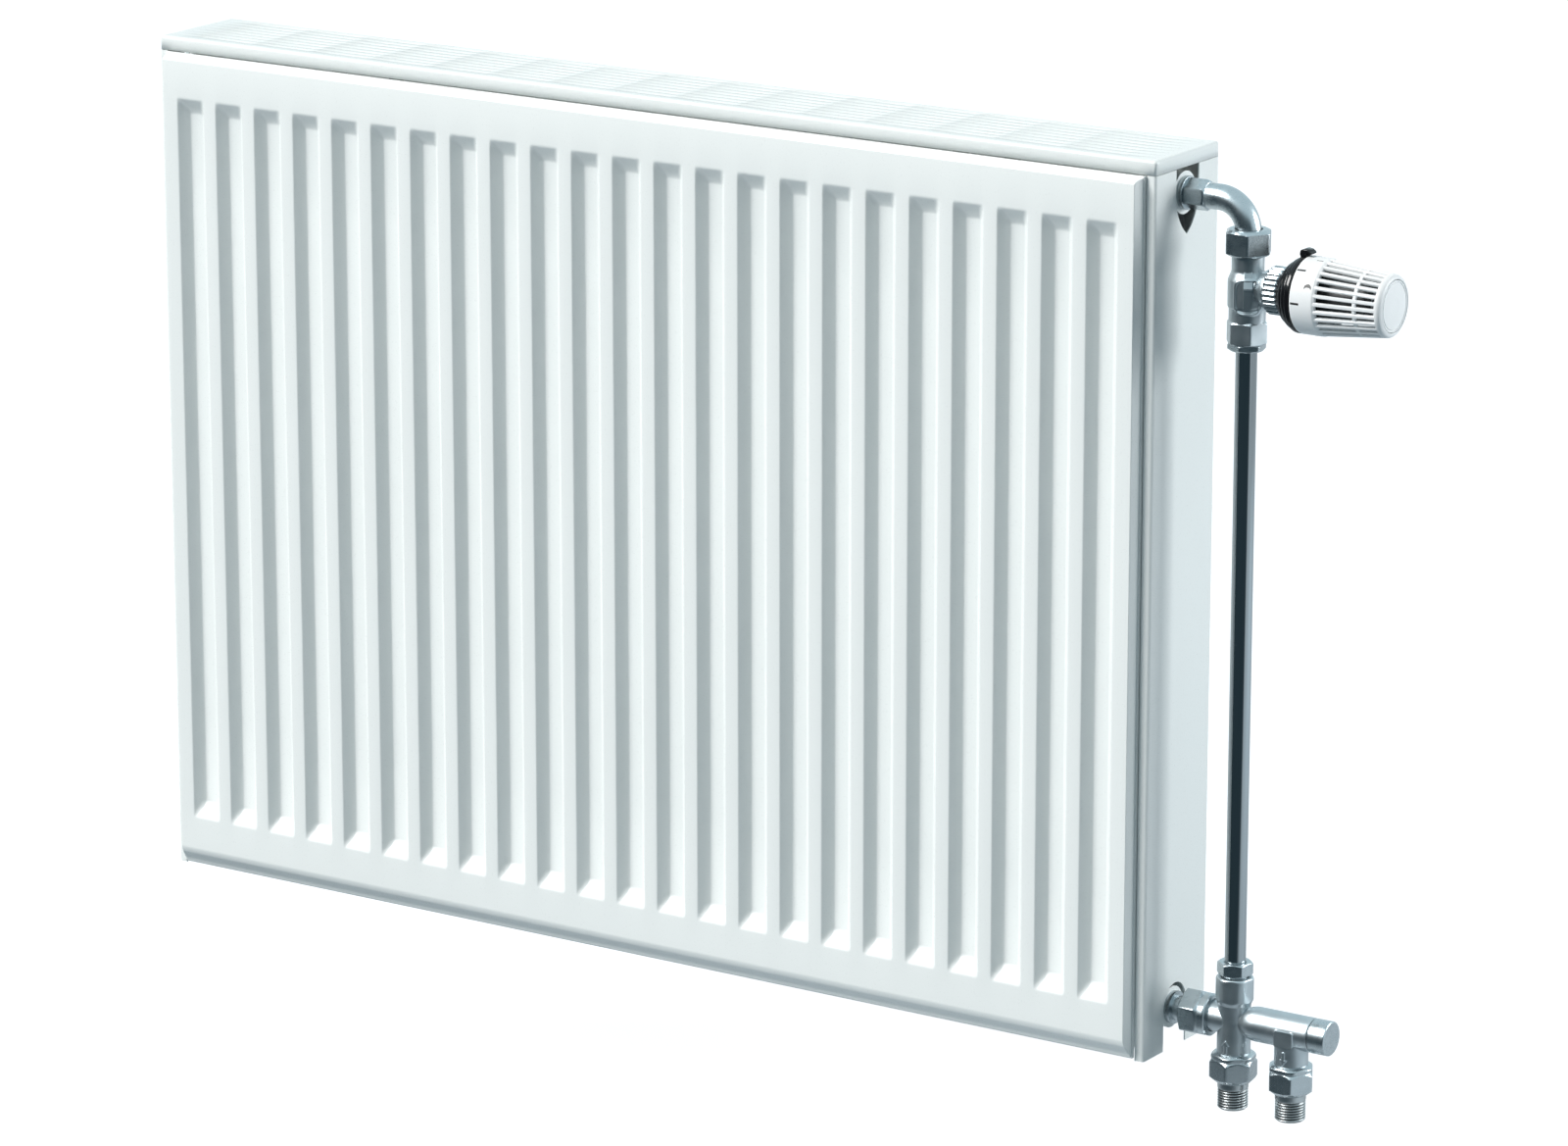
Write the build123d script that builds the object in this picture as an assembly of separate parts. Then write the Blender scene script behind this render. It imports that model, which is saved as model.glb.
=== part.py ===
from build123d import *
import os
from math import cos, hypot, pi, radians

# Wall-hung panel radiator with a thermostatic valve set on its right-hand side.
# Millimetres. X runs along the radiator towards the valve, Y runs back to the wall, Z is up.
# The origin lies in the wall plane of the hanger lugs, in the middle of the four.

# Radiator body, over the covers
body_width = 800.0
body_height = 600.0
lug_reach = 8.0

# Pressed panel sheets
sheet = 1.2
channel_pitch = 33.333
groove_width = 23.0
groove_depth = 7.4
groove_side_run = 7.7
groove_end_run = 10.8
header_height = 26.5
groove_margin = 10.0
face_side_margin = 10.0
face_bottom_margin = 12.5
face_reveal = 4.0
bevel_side_run = 2.2
bevel_bottom_run = 9.5
bevel_top_run = 3.0
rim_land = 0.8
panel_spacing = 65.6

# Convectors
convector_sheet = 0.4
convector_depth = 32.0
convector_flat = 9.0
convector_inset = 7.7

# Side covers and top grille
cover_sheet = 1.0
cover_gap = 0.3
rim_gap = 0.2
bend_radius_cover = 2.0
opening_width = 28.8
upper_opening_drop = 26.6
lower_opening_rise = 17.0
grille_height = 10.0
slot_rows = 8
slot_row_pitch = 8.5
slot_width = 2.4
slot_group_pitch = 50.0
slot_bridge = 4.0
slot_end_margin = 25.0

# Grille clips
clip_width = 12.0
clip_sheet = 0.8
clip_foot = 8.0
clip_drop = 34.0
clip_inset = 150.0

# Hanger lugs
lug_sheet = 2.0
lug_height = 40.0
lug_foot = 8.0
lug_inset = 60.0
lug_from_end = 2

# Corner tees and tappings
tapping_inset = 27.0
tapping_recess = 2.0
tapping_radius = 10.5
tapping_depth = 22.0
tee_inset = 28.0
tee_radius = 12.5
tee_bore = 9.0
socket_radius = 14.0

# Clearances
slip = 0.05
guide_clearance = 0.3
olive_gap = 0.2

# Plugs on the left-hand side
spigot_length = 12.0
plug_seal = 1.5
plug_flange = 2.5
plug_flange_radius = 13.0
plug_head_flats = 12.0
plug_head_length = 3.5
vent_head_radius = 7.0
spout_wall = 2.0
spout_reach = 6.0
spout_tube_radius = 1.5
bleed_radius = 2.5
bleed_flats = 5.0
bleed_depth = 9.0
bleed_head_length = 1.5
bleed_recess_radius = 4.0
bleed_recess_depth = 1.8

# Union joints: a nut draws a tail's collar on to a threaded neck, with a gasket between
union_flats = 28.0
union_length = 20.5
upper_union_length = 17.0
union_lip = 3.5
union_thread_radius = 11.0
union_collar_radius = 10.6
union_collar = 3.0
gasket = 1.5
tail_radius = 8.4
tail_bore = 6.0
nut_chamfer = 1.6

# Bent tail
riser_offset = 45.0
elbow_radius = 21.0
elbow_leg = 3.5
elbow_shoulder_radius = 11.0
elbow_shoulder = 3.5
elbow_hex_flats = 18.0
elbow_hex_length = 15.0

# Valve body
body_rise = 29.5
body_drop = 37.0
body_thread_length = 13.0
body_neck_radius = 10.5
bulge_radius = 12.8
bulge_half_height = 8.0
bulge_taper = 5.0
body_hex_flats = 24.0
body_hex_length = 16.0
branch_root_radius = 9.0
branch_cone_start = 9.0
branch_thread_start = 16.0
branch_thread_radius = 13.0
branch_end = 24.0
seat_setback = 2.0
seat_radius = 4.0
chamber_radius = 9.0
port_radius = 3.0
port_setback = 7.5
port_drop = 20.0
port_rise = 3.0
outlet_floor = 5.5

# Valve insert and spindle
valve_lift = 1.7
disc_radius = 5.5
disc_length = 3.0
spindle_radius = 1.75
spindle_end = 33.5
spindle_collar_radius = 3.8
spindle_collar = 1.0
insert_start = 8.0
insert_wall = 2.0
insert_cavity_radius = 4.5
gland_radius = 5.0
gland_start = 20.0
gland_end = 27.0
seal_groove_start = 12.0
seal_groove_width = 1.6
seal_groove_depth = 1.0
valve_spring_wire = 0.35
valve_spring_radius = 3.1
valve_spring_turns = 5

# Thermostatic head, measured along its axis from the riser
head_nut_length = 10.9
head_nut_radius = 15.75
head_nut_lip = 1.9
head_nut_flutes = 26
head_nut_flute_radius = 0.9
base_flange_gap = 0.4
base_flange_length = 2.25
base_flange_radius = 12.7
base_neck_radius = 11.9
base_bore_clearance = 1.0
base_step_length = 4.7
base_step_radii = (17.0, 20.5, 23.5)
base_sleeve_setback = 2.3
pointer_ring_radius = 25.0
pointer_ring_length = 3.6
pointer_height = 4.2
pointer_width = 8.0
pointer_overhang = 4.0
pointer_lift = 0.6
dial_gap = 0.3
dial_collar_length = 17.0
dial_radius = 25.0
dial_wall = 3.05
cage_length = 42.5
cage_end_radius = 20.5
cage_wall = 2.2
cage_ribs = 28
cage_rib_width = 2.6
cage_margin = 2.5
cage_ring_place = 26.0
cage_ring_width = 2.6
rim_length = 3.0
rim_radius = 18.0
dial_end_wall = 2.5
end_disc_depth = 0.8
end_disc_border = 1.1
sensor_radius = 14.0
sensor_start = 44.0
sensor_length = 48.0
sensor_room = 2.6
pin_radius = 2.5
pin_gap = 0.1
overtravel_radius = 9.0
overtravel_wire = 1.2
overtravel_turns = 4
overtravel_length = 8.4

# Riser pipe and its compression fittings
riser_radius = 7.0
riser_bore = 6.0
pipe_entry = 14.0
compression_radius = 9.0
gland_shank = 6.0
gland_head = 4.5
gland_head_flats = 22.0
olive_length = 4.0
olive_radius = 8.7
olive_taper = 1.0
riser_nut_flats = 21.0
riser_nut_length = 8.5
riser_nut_gap = 1.5
riser_nut_shank = 10.5

# Connection block, measured from the crossing of its tubes
block_socket_radius = 12.5
block_socket_top = 30.0
block_socket_bottom = 12.5
block_pipe_stop = 14.0
block_neck_radius = 10.8
block_tube_radius = 11.5
block_tube_start = 3.0
block_tube_end = 59.5
block_left_reach = 28.0
block_left_thread = 13.0
block_tail_drop = 34.5
block_tail_thread = 11.0
tail_centres = 43.0
passage_radius = 3.9
passage_offset = 4.6
passage_half_height = 14.0
neck_bore_depth = 15.5
first_chamber_start = 13.0
first_chamber_end = 19.0
first_chamber_radius = 7.5
shutoff_seat_radius = 4.5
shutoff_chamber_start = 25.8
shutoff_chamber_radius = 8.0
cap_spigot_radius = 10.0
cap_spigot_length = 8.0
pad_width = 14.0
pad_height = 12.0
pad_proud = 0.8
pad_rise = 3.0

# Shut-off and end cap
shutoff_travel = 3.0
shutoff_gap = 0.2
shutoff_plug_radius = 6.5
shutoff_plug_length = 4.0
shutoff_spindle_radius = 3.0
shutoff_spindle_proud = 1.0
shutoff_slot_width = 1.2
shutoff_slot_depth = 1.5
shutoff_gland_clearance = 2.0
shutoff_gland_recess = 2.5
cap_gap = 0.3
cap_length = 12.7
cap_wall = 3.0
cap_seal_length = 1.6
cap_seal_bore = 6.0

# Threaded tails below the block
tail_thread_radius = 10.2
tail_thread_length = 18.0

# Places worked out from the sizes above
half_width = body_width / 2
bottom_z = -body_height / 2
top_z = body_height / 2
weld_depth = groove_depth + sheet
panel_depth = 2 * weld_depth
panel_proud = groove_depth + 2 * sheet + rim_gap
body_depth = panel_spacing + 2 * panel_depth
rear_face_y = -lug_reach
front_face_y = rear_face_y - body_depth
axis_y = (rear_face_y + front_face_y) / 2
cover_front_y = front_face_y + panel_proud
cover_rear_y = rear_face_y - panel_proud
cover_top_z = top_z - grille_height
face_half = half_width - face_side_margin
face_bottom_z = bottom_z + face_bottom_margin
face_top_z = cover_top_z - face_reveal
rim_half = face_half + bevel_side_run + rim_land
groove_bottom_z = face_bottom_z + header_height
groove_top_z = face_top_z - header_height
upper_z = top_z - tapping_inset
lower_z = bottom_z + tapping_inset
tee_x = half_width - tee_inset
mouth_x = half_width - tapping_recess
riser_x = half_width + riser_offset
union_seat = union_lip + union_collar + gasket
union_plane_z = upper_z - elbow_radius - elbow_leg
head_z = union_plane_z - gasket - body_rise
body_bottom_z = head_z - body_drop
spigot_radius = tapping_radius - slip
base_bore = gland_radius + base_bore_clearance
base_flange_start = branch_end + base_flange_gap
base_flange_end = base_flange_start + base_flange_length
head_nut_end = base_flange_end + slip + head_nut_lip
head_nut_start = head_nut_end - head_nut_length
spindle_collar_start = gland_start - guide_clearance - valve_lift - spindle_collar
spigot_end = block_tube_end + cap_spigot_length
shutoff_gland_start = tail_centres + tail_bore + shutoff_gland_clearance
shutoff_gland_end = spigot_end - shutoff_gland_recess
shutoff_spindle_end = shutoff_gland_end + shutoff_spindle_proud

groove_count = int((2 * (face_half - groove_margin) - groove_width) // channel_pitch) + 1
groove_places = [(i - (groove_count - 1) / 2) * channel_pitch for i in range(groove_count)]
land_places = [(i - groove_count / 2) * channel_pitch for i in range(groove_count + 1)]


# Shared shapes

def block(x0, x1, y0, y1, z0, z1):
    """A box between two corners."""
    return Pos(x0, y0, z0) * Box(x1 - x0, y1 - y0, z1 - z0, align=Align.MIN)


def frustum(low, low_y, high, high_y):
    """A tapered block between two rectangles (x0, x1, z0, z1), one at each depth."""
    faces = []
    for (x0, x1, z0, z1), y in ((low, low_y), (high, high_y)):
        corners = [(x0, y, z0), (x1, y, z0), (x1, y, z1), (x0, y, z1)]
        faces.append(make_face(Polyline(*corners, close=True)))
    return loft(faces, ruled=True)


def grown(rectangle, side, low, high):
    """A rectangle made larger by its own amount at the sides, the bottom and the top."""
    x0, x1, z0, z1 = rectangle
    return (x0 - side, x1 + side, z0 - low, z1 + high)


def wall_shift(run, depth, thickness):
    """How far a slanted wall's far side stands from its near side, level for level."""
    return thickness * (hypot(run, depth) - run) / depth


def rod(start, end, radius):
    """A round bar along X."""
    bar = Cylinder(radius, end - start, align=(Align.CENTER, Align.CENTER, Align.MIN))
    return Pos(start, 0, 0) * Rot(0, 90, 0) * bar


def sleeve(start, end, radius, bore):
    """A round bar along X with a bore."""
    return rod(start, end, radius) - rod(start, end, bore)


def hexagon(start, end, flats):
    """A hexagonal bar along X."""
    section = RegularPolygon(flats / 2, 6, major_radius=False)
    return Pos(start, 0, 0) * Rot(0, 90, 0) * extrude(section, end - start)


def turned(*points):
    """A piece turned about X from points (place along X, radius)."""
    return revolve(make_face(Polyline(*points, close=True)), Axis.X)


def nut_form(start, end, flats):
    """A hexagon along X with its corners chamfered at both ends."""
    corner = flats / 2 / cos(radians(30))
    inner = corner - nut_chamfer
    slope = nut_chamfer / 2
    barrel = turned(
        (start, 0),
        (start, inner),
        (start + slope, corner),
        (end - slope, corner),
        (end, inner),
        (end, 0),
    )
    return hexagon(start, end, flats) & barrel


def coil(start, length, radius, wire, turns):
    """An open coil spring about X."""
    path = Helix(pitch=length / turns, height=length, radius=radius)
    section = Plane(origin=path @ 0, z_dir=path % 0) * Circle(wire / 2)
    return Pos(start, 0, 0) * Rot(0, 90, 0) * sweep(section, path=path, is_frenet=True)


# Turns that carry a piece made along X to the other directions
down = Rot(0, 90, 0)
up = Rot(0, -90, 0)
leftward = Rot(0, 0, 180)

at_upper_left = Pos(-mouth_x, axis_y, upper_z) * leftward
at_lower_left = Pos(-mouth_x, axis_y, lower_z) * leftward
at_head = Pos(riser_x, axis_y, head_z)
at_block = Pos(riser_x, axis_y, lower_z)
at_upper_union = Pos(riser_x, axis_y, union_plane_z + union_collar + union_lip) * down
at_lower_union = Pos(riser_x - block_left_reach - union_seat, axis_y, lower_z)
tail_union_z = lower_z - block_tail_drop - union_seat
at_flow_union = Pos(riser_x, axis_y, tail_union_z) * up
at_return_union = Pos(riser_x + tail_centres, axis_y, tail_union_z) * up


# Water panels: two pressed sheets each, welded face to face round the rim and along the grooves

def groove_form(place, shift, side, end, overshoot):
    """A groove's tapered solid, from above the face to the groove's floor."""
    side_rate = groove_side_run / groove_depth
    end_rate = groove_end_run / groove_depth
    mouth = (place - groove_width / 2, place + groove_width / 2, groove_bottom_z, groove_top_z)
    mouth = grown(mouth, side, end, end)
    floor = grown(mouth, -groove_side_run, -groove_end_run, -groove_end_run)
    top = grown(mouth, side_rate * overshoot, end_rate * overshoot, end_rate * overshoot)
    return frustum(top, shift - overshoot, floor, shift + groove_depth)


def pressed_sheet():
    """One sheet with its face at Y = 0 and its welded back at the weld depth."""
    overshoot = sheet / 2
    face = (-face_half, face_half, face_bottom_z, face_top_z)
    base = grown(face, bevel_side_run, bevel_bottom_run, bevel_top_run)
    rim = grown(base, rim_land, rim_land, rim_land)
    outside = frustum(face, 0, base, groove_depth)
    outside += block(rim[0], rim[1], groove_depth, weld_depth, rim[2], rim[3])
    outside -= [groove_form(x, 0, 0, 0, overshoot) for x in groove_places]
    runs = (bevel_side_run, bevel_bottom_run, bevel_top_run)
    shifts = [-wall_shift(run, groove_depth, sheet) for run in runs]
    inner_face = grown(face, *shifts)
    inner_base = grown(base, *shifts)
    water = frustum(inner_face, sheet, inner_base, weld_depth)
    side = wall_shift(groove_side_run, groove_depth, sheet)
    end = wall_shift(groove_end_run, groove_depth, sheet)
    water -= [groove_form(x, sheet, side, end, overshoot) for x in groove_places]
    return outside - water


def tee_places():
    """The four corners where a tee joins the panels."""
    return [(x, z) for x in (-tee_x, tee_x) for z in (lower_z, upper_z)]


plain_sheet = pressed_sheet()
hole = Rot(90, 0, 0) * Cylinder(tee_bore, 2 * weld_depth)
holed_sheet = plain_sheet - [Pos(x, weld_depth, z) * hole for x, z in tee_places()]
turned_back = mirror(holed_sheet, about=Plane.XZ)
front_panel_outer = Pos(0, front_face_y, 0) * plain_sheet
front_panel_inner = Pos(0, front_face_y + panel_depth, 0) * turned_back
rear_panel_inner = Pos(0, rear_face_y - panel_depth, 0) * holed_sheet
rear_panel_outer = Pos(0, rear_face_y, 0) * mirror(plain_sheet, about=Plane.XZ)


# Convectors: folded sheet, spot-welded to the backs of the water channels

def convector_form():
    """A folded strip whose flats stand on Y = 0, with its crests over the grooves."""
    rise = convector_depth - convector_sheet
    run = channel_pitch / 2 - convector_flat
    shift = wall_shift(run, rise, convector_sheet)
    half = convector_flat / 2
    near = []
    far = []
    for place in land_places:
        near += [(place - half, 0), (place + half, 0)]
        far += [(place - half + shift, convector_sheet), (place + half - shift, convector_sheet)]
        crest = place + channel_pitch / 2
        near += [(crest - half, rise), (crest + half, rise)]
        far += [(crest - half - shift, convector_depth), (crest + half + shift, convector_depth)]
    outline = near[:-2] + far[-3::-1]
    low = groove_bottom_z + convector_inset
    high = groove_top_z - convector_inset
    return Pos(0, 0, low) * extrude(make_face(Polyline(*outline, close=True)), high - low)


convector = convector_form()
front_convector = Pos(0, front_face_y + panel_depth, 0) * convector
rear_convector = Pos(0, rear_face_y - panel_depth, 0) * mirror(convector, about=Plane.XZ)


# Top grille: a slotted pan turned upside down, flush with the covers

def top_grille_form():
    """A pan with rounded edges, and rows of slots in groups."""
    pan = block(-half_width, half_width, cover_front_y, cover_rear_y, cover_top_z, top_z)
    upright = pan.edges().filter_by(Axis.Z)
    pan = fillet(upright, bend_radius_cover)
    pan = fillet(pan.faces().sort_by(Axis.Z)[-1].edges(), bend_radius_cover)
    hollow = block(
        -half_width + cover_sheet,
        half_width - cover_sheet,
        cover_front_y + cover_sheet,
        cover_rear_y - cover_sheet,
        cover_top_z - cover_sheet,
        top_z - cover_sheet,
    )
    hollow = fillet(hollow.edges().filter_by(Axis.Z), bend_radius_cover - cover_sheet)
    hollow = fillet(hollow.faces().sort_by(Axis.Z)[-1].edges(), bend_radius_cover - cover_sheet)
    groups = int((body_width - 2 * slot_end_margin) // slot_group_pitch)
    slot = Rectangle(slot_group_pitch - slot_bridge, slot_width)
    places = GridLocations(slot_group_pitch, slot_row_pitch, groups, slot_rows)
    slots = Sketch() + [place * slot for place in places]
    cut = Pos(0, axis_y, top_z - 2 * cover_sheet) * extrude(slots, 3 * cover_sheet)
    return pan - hollow - cut


top_grille = top_grille_form()


def clip_form():
    """A bent strip: a foot under the grille and a leg down the panel's inner face."""
    leg = block(-clip_width / 2, clip_width / 2, 0, clip_sheet, -clip_drop, 0)
    foot = block(-clip_width / 2, clip_width / 2, 0, clip_foot, -clip_sheet, 0)
    return leg + foot


clip_x = half_width - clip_inset
clip_z = top_z - cover_sheet
clip_y = front_face_y + panel_depth + rim_gap
front_clips = [Pos(x, clip_y, clip_z) * clip_form() for x in (-clip_x, clip_x)]
rear_clips = [Pos(0, 2 * axis_y, 0) * mirror(clip, about=Plane.XZ) for clip in front_clips]
grille_clips = front_clips + rear_clips


# Side covers: folded channels that hook on to the panel rims, open round the tappings

def side_cover_form():
    """The right-hand cover: the outer half of a rounded tube's section, carried up its height."""
    flange = half_width - rim_half - cover_gap
    depth = cover_rear_y - cover_front_y
    loop = RectangleRounded(2 * flange, depth, bend_radius_cover)
    inner_radius = bend_radius_cover - cover_sheet
    loop -= RectangleRounded(2 * (flange - cover_sheet), depth - 2 * cover_sheet, inner_radius)
    section = loop & (Pos(flange / 2, 0) * Rectangle(flange, depth))
    channel = extrude(section, cover_top_z - bottom_z)
    return Pos(half_width - flange, axis_y, bottom_z) * channel - upper_opening() - lower_opening()


def opening_cut(outline):
    """A closed outline in the cover's own plane (across Y, up Z), cut through the sheet."""
    plane = Plane(origin=(half_width - 2 * cover_sheet, axis_y, 0), x_dir=(0, 1, 0), z_dir=(1, 0, 0))
    return extrude(plane * make_face(outline), 3 * cover_sheet)


def upper_opening():
    """Open at the top, straight to the tapping axis, and drawn to a point below it."""
    half = opening_width / 2
    tip = upper_z - upper_opening_drop
    above = cover_top_z + cover_sheet
    radius = (upper_opening_drop**2 + half**2) / (2 * half)
    sides = [
        Line((-half, upper_z), (-half, above)),
        Line((-half, above), (half, above)),
        Line((half, above), (half, upper_z)),
        RadiusArc((half, upper_z), (0, tip), radius),
        RadiusArc((0, tip), (-half, upper_z), radius),
    ]
    return opening_cut(sides)


def lower_opening():
    """Open at the bottom, with a round top over the tapping."""
    half = opening_width / 2
    spring = lower_z + lower_opening_rise - half
    below = bottom_z - cover_sheet
    sides = [
        Line((-half, spring), (-half, below)),
        Line((-half, below), (half, below)),
        Line((half, below), (half, spring)),
        ThreePointArc((half, spring), (0, spring + half), (-half, spring)),
    ]
    return opening_cut(sides)


right_side_cover = side_cover_form()
left_side_cover = mirror(right_side_cover, about=Plane.YZ)


# Corner tees: a cross tube between the panels and a threaded socket facing the side

def tee_form():
    """The right-hand tee about its own centre, with the socket towards +X."""
    half_length = panel_spacing / 2
    cross = Rot(0, 0, 90) * rod(-half_length, half_length, tee_radius)
    socket = rod(0, mouth_x - tee_x, socket_radius)
    bores = Rot(0, 0, 90) * rod(-half_length, half_length, tee_bore)
    bores += rod(mouth_x - tee_x - tapping_depth, mouth_x - tee_x, tapping_radius)
    return cross + socket - bores


tee = tee_form()
corner_tees = []
for x, z in tee_places():
    facing = Rot(0, 0, 180 if x < 0 else 0)
    corner_tees.append(Pos(x, axis_y, z) * facing * tee)


# Hanger lugs: straps welded to the rear panel, each over a groove, for the wall brackets' hooks

def lug_form():
    """A strap with two feet on the lands beside a groove, standing out to the wall plane."""
    foot_x = channel_pitch / 2
    leg_x = foot_x - lug_foot / 2
    half = lug_height / 2
    strap = block(-leg_x - lug_sheet, leg_x + lug_sheet, -lug_sheet, 0, -half, half)
    for side in (-1, 1):
        inner = sorted((side * leg_x, side * (leg_x + lug_sheet)))
        foot = sorted((side * leg_x, side * (leg_x + lug_foot)))
        strap += block(inner[0], inner[1], rear_face_y, 0, -half, half)
        strap += block(foot[0], foot[1], rear_face_y, rear_face_y + lug_sheet, -half, half)
    return strap


lug_x = abs(groove_places[lug_from_end])
lug_z = body_height / 2 - lug_inset - lug_height / 2
hanger_lugs = [Pos(x, 0, z) * lug_form() for x in (-lug_x, lug_x) for z in (-lug_z, lug_z)]


# Left-hand plugs: a blank one below, and a vent above with its swivelling spout and bleed screw

def plug_body():
    """Threaded spigot and flange, with the tapping's mouth at X = 0."""
    spigot = rod(-spigot_length, plug_seal, spigot_radius)
    return spigot + rod(plug_seal, plug_seal + plug_flange, plug_flange_radius)


def plug_seal_ring():
    """Flat ring between the tapping's mouth and the plug's flange."""
    return sleeve(0, plug_seal, plug_flange_radius, spigot_radius + slip)


plug_face = plug_seal + plug_flange
blanking_head = hexagon(plug_face, plug_face + plug_head_length, plug_head_flats)
blanking_plug = at_lower_left * (plug_body() + blanking_head)
blanking_plug_seal = at_lower_left * plug_seal_ring()
vent_plug_seal = at_upper_left * plug_seal_ring()

vent_end = plug_face + plug_head_length
vent_form = plug_body() + rod(plug_face, vent_end, vent_head_radius)
vent_form -= rod(vent_end - bleed_recess_depth, vent_end, bleed_recess_radius)
vent_form -= rod(-spigot_length, vent_end, bleed_radius + slip)
vent_plug = at_upper_left * vent_form

spout_radius = vent_head_radius + spout_wall
spout_middle = (plug_face + slip + vent_end) / 2
spout_form = rod(plug_face + slip, vent_end, spout_radius)
spout_form += Pos(spout_middle, 0, 0) * down * rod(0, spout_radius + spout_reach, spout_tube_radius)
spout_form -= rod(plug_face + slip, vent_end, vent_head_radius + slip)
vent_spout = at_upper_left * spout_form

bleed_form = rod(-bleed_depth, vent_end - bleed_recess_depth, bleed_radius)
bleed_square = extrude(Rectangle(bleed_flats, bleed_flats), bleed_head_length)
bleed_form += Pos(vent_end - bleed_recess_depth, 0, 0) * Rot(0, 90, 0) * bleed_square
bleed_screw = at_upper_left * bleed_form


# Union joints, made along X from the tail's side

def union_nut_form(length):
    """Hexagon nut with an inner lip behind the tail's collar."""
    nut = nut_form(0, length, union_flats)
    nut -= rod(0, length, tail_radius + 2 * guide_clearance)
    return nut - rod(union_lip, length, union_thread_radius + slip)


def union_gasket_form():
    """Flat ring between collar and neck."""
    start = union_lip + union_collar
    return sleeve(start, start + gasket, union_collar_radius, tail_bore)


def union_collar_form():
    """The collar at the end of a tail."""
    return rod(union_lip, union_lip + union_collar, union_collar_radius)


upper_union_nut = at_upper_union * union_nut_form(upper_union_length)
lower_union_nut = at_lower_union * union_nut_form(union_length)
flow_union_nut = at_flow_union * union_nut_form(union_length)
return_union_nut = at_return_union * union_nut_form(union_length)
upper_gasket = at_upper_union * union_gasket_form()
lower_gasket = at_lower_union * union_gasket_form()
tail_gaskets = [at_flow_union * union_gasket_form(), at_return_union * union_gasket_form()]


# Bent tail from the upper tapping to the valve

def bend_of(radius):
    """The tail's tube or bore: straight from the mouth, a quarter bend, and down to the gasket."""
    end_z = union_plane_z - upper_z
    halfway = elbow_radius * (1 - cos(radians(45)))
    bend_start = (riser_x - elbow_radius, 0, 0)
    bend_end = (riser_x, 0, -elbow_radius)
    turn = ThreePointArc(bend_start, (riser_x - halfway, 0, -halfway), bend_end)
    run = Line((mouth_x, 0, 0), bend_start)
    leg = Line(bend_end, (riser_x, 0, end_z))
    path = Wire([run, turn, leg])
    section = Plane(origin=(mouth_x, 0, 0), x_dir=(0, 1, 0), z_dir=(1, 0, 0)) * Circle(radius)
    return Pos(0, axis_y, upper_z) * sweep(section, path=path)


def elbow_tail_form():
    """Spigot, shoulder, hexagon and bent tube, bored right through."""
    at_mouth = Pos(mouth_x, axis_y, upper_z)
    root = rod(-spigot_length, 0, spigot_radius)
    root += rod(0, elbow_shoulder, elbow_shoulder_radius)
    root += hexagon(elbow_shoulder, elbow_shoulder + elbow_hex_length, elbow_hex_flats)
    tail = at_mouth * root + bend_of(tail_radius) + at_upper_union * union_collar_form()
    return tail - at_mouth * rod(-spigot_length, 0, tail_bore) - bend_of(tail_bore)


elbow_tail = elbow_tail_form()


# Valve body with its ports, seat and branch for the head

def valve_body_form():
    """About the crossing of the riser axis and the head's axis."""
    taper_top = bulge_half_height + bulge_taper
    hex_top = body_hex_length - body_drop
    outline = [
        (-body_drop, 0),
        (-body_drop, body_neck_radius),
        (-taper_top, body_neck_radius),
        (-bulge_half_height, bulge_radius),
        (bulge_half_height, bulge_radius),
        (taper_top, body_neck_radius),
        (body_rise - body_thread_length, body_neck_radius),
        (body_rise - body_thread_length, union_thread_radius),
        (body_rise, union_thread_radius),
        (body_rise, 0),
    ]
    body = up * turned(*outline)
    body += up * nut_form(-body_drop, hex_top, body_hex_flats)
    body += turned(
        (0, 0),
        (0, branch_root_radius),
        (branch_cone_start, branch_root_radius),
        (branch_thread_start, branch_thread_radius),
        (branch_end, branch_thread_radius),
        (branch_end, 0),
    )
    compression_depth = gland_shank + olive_length + olive_gap
    body -= up * rod(-body_drop, -body_drop + compression_depth, compression_radius + slip)
    body -= up * rod(-body_drop, -body_drop + pipe_entry, riser_radius + slip)
    body -= up * rod(-body_drop, -port_drop + 2 * port_radius, riser_bore)
    body -= Pos(-port_setback, 0, 0) * up * rod(-port_drop, port_rise, port_radius)
    body -= rod(-port_setback, -seat_setback, seat_radius)
    body -= rod(-seat_setback, branch_end, chamber_radius)
    return body - up * rod(outlet_floor, body_rise, tail_bore)


valve_body = at_head * valve_body_form()


# Valve insert, spindle and disc

insert_radius = chamber_radius - slip
insert_form = rod(insert_start, branch_end, insert_radius)
insert_form -= rod(insert_start, branch_end, spindle_radius + slip)
insert_form -= rod(insert_start + insert_wall, gland_start, insert_cavity_radius)
insert_form -= rod(gland_start, branch_end, gland_radius + slip)
seal_groove_end = seal_groove_start + seal_groove_width
seal_inner = insert_radius - seal_groove_depth
seal_form = sleeve(seal_groove_start, seal_groove_end, insert_radius, seal_inner)
valve_insert = at_head * (insert_form - seal_form)
insert_seal = at_head * seal_form
spindle_gland = at_head * sleeve(gland_start, gland_end, gland_radius, spindle_radius + slip)

disc_start = valve_lift - seat_setback
disc_end = disc_start + disc_length
spindle_collar_end = spindle_collar_start + spindle_collar
valve_disc = at_head * rod(disc_start, disc_end, disc_radius)
spindle_form = rod(disc_end, spindle_end, spindle_radius)
spindle_form += rod(spindle_collar_start, spindle_collar_end, spindle_collar_radius)
valve_spindle = at_head * spindle_form
spring_start = insert_start + insert_wall + valve_spring_wire / 2
spring_length = spindle_collar_start - spring_start - valve_spring_wire / 2
return_form = coil(spring_start, spring_length, valve_spring_radius, valve_spring_wire, valve_spring_turns)
return_spring = at_head * return_form


# Thermostatic head

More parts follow.
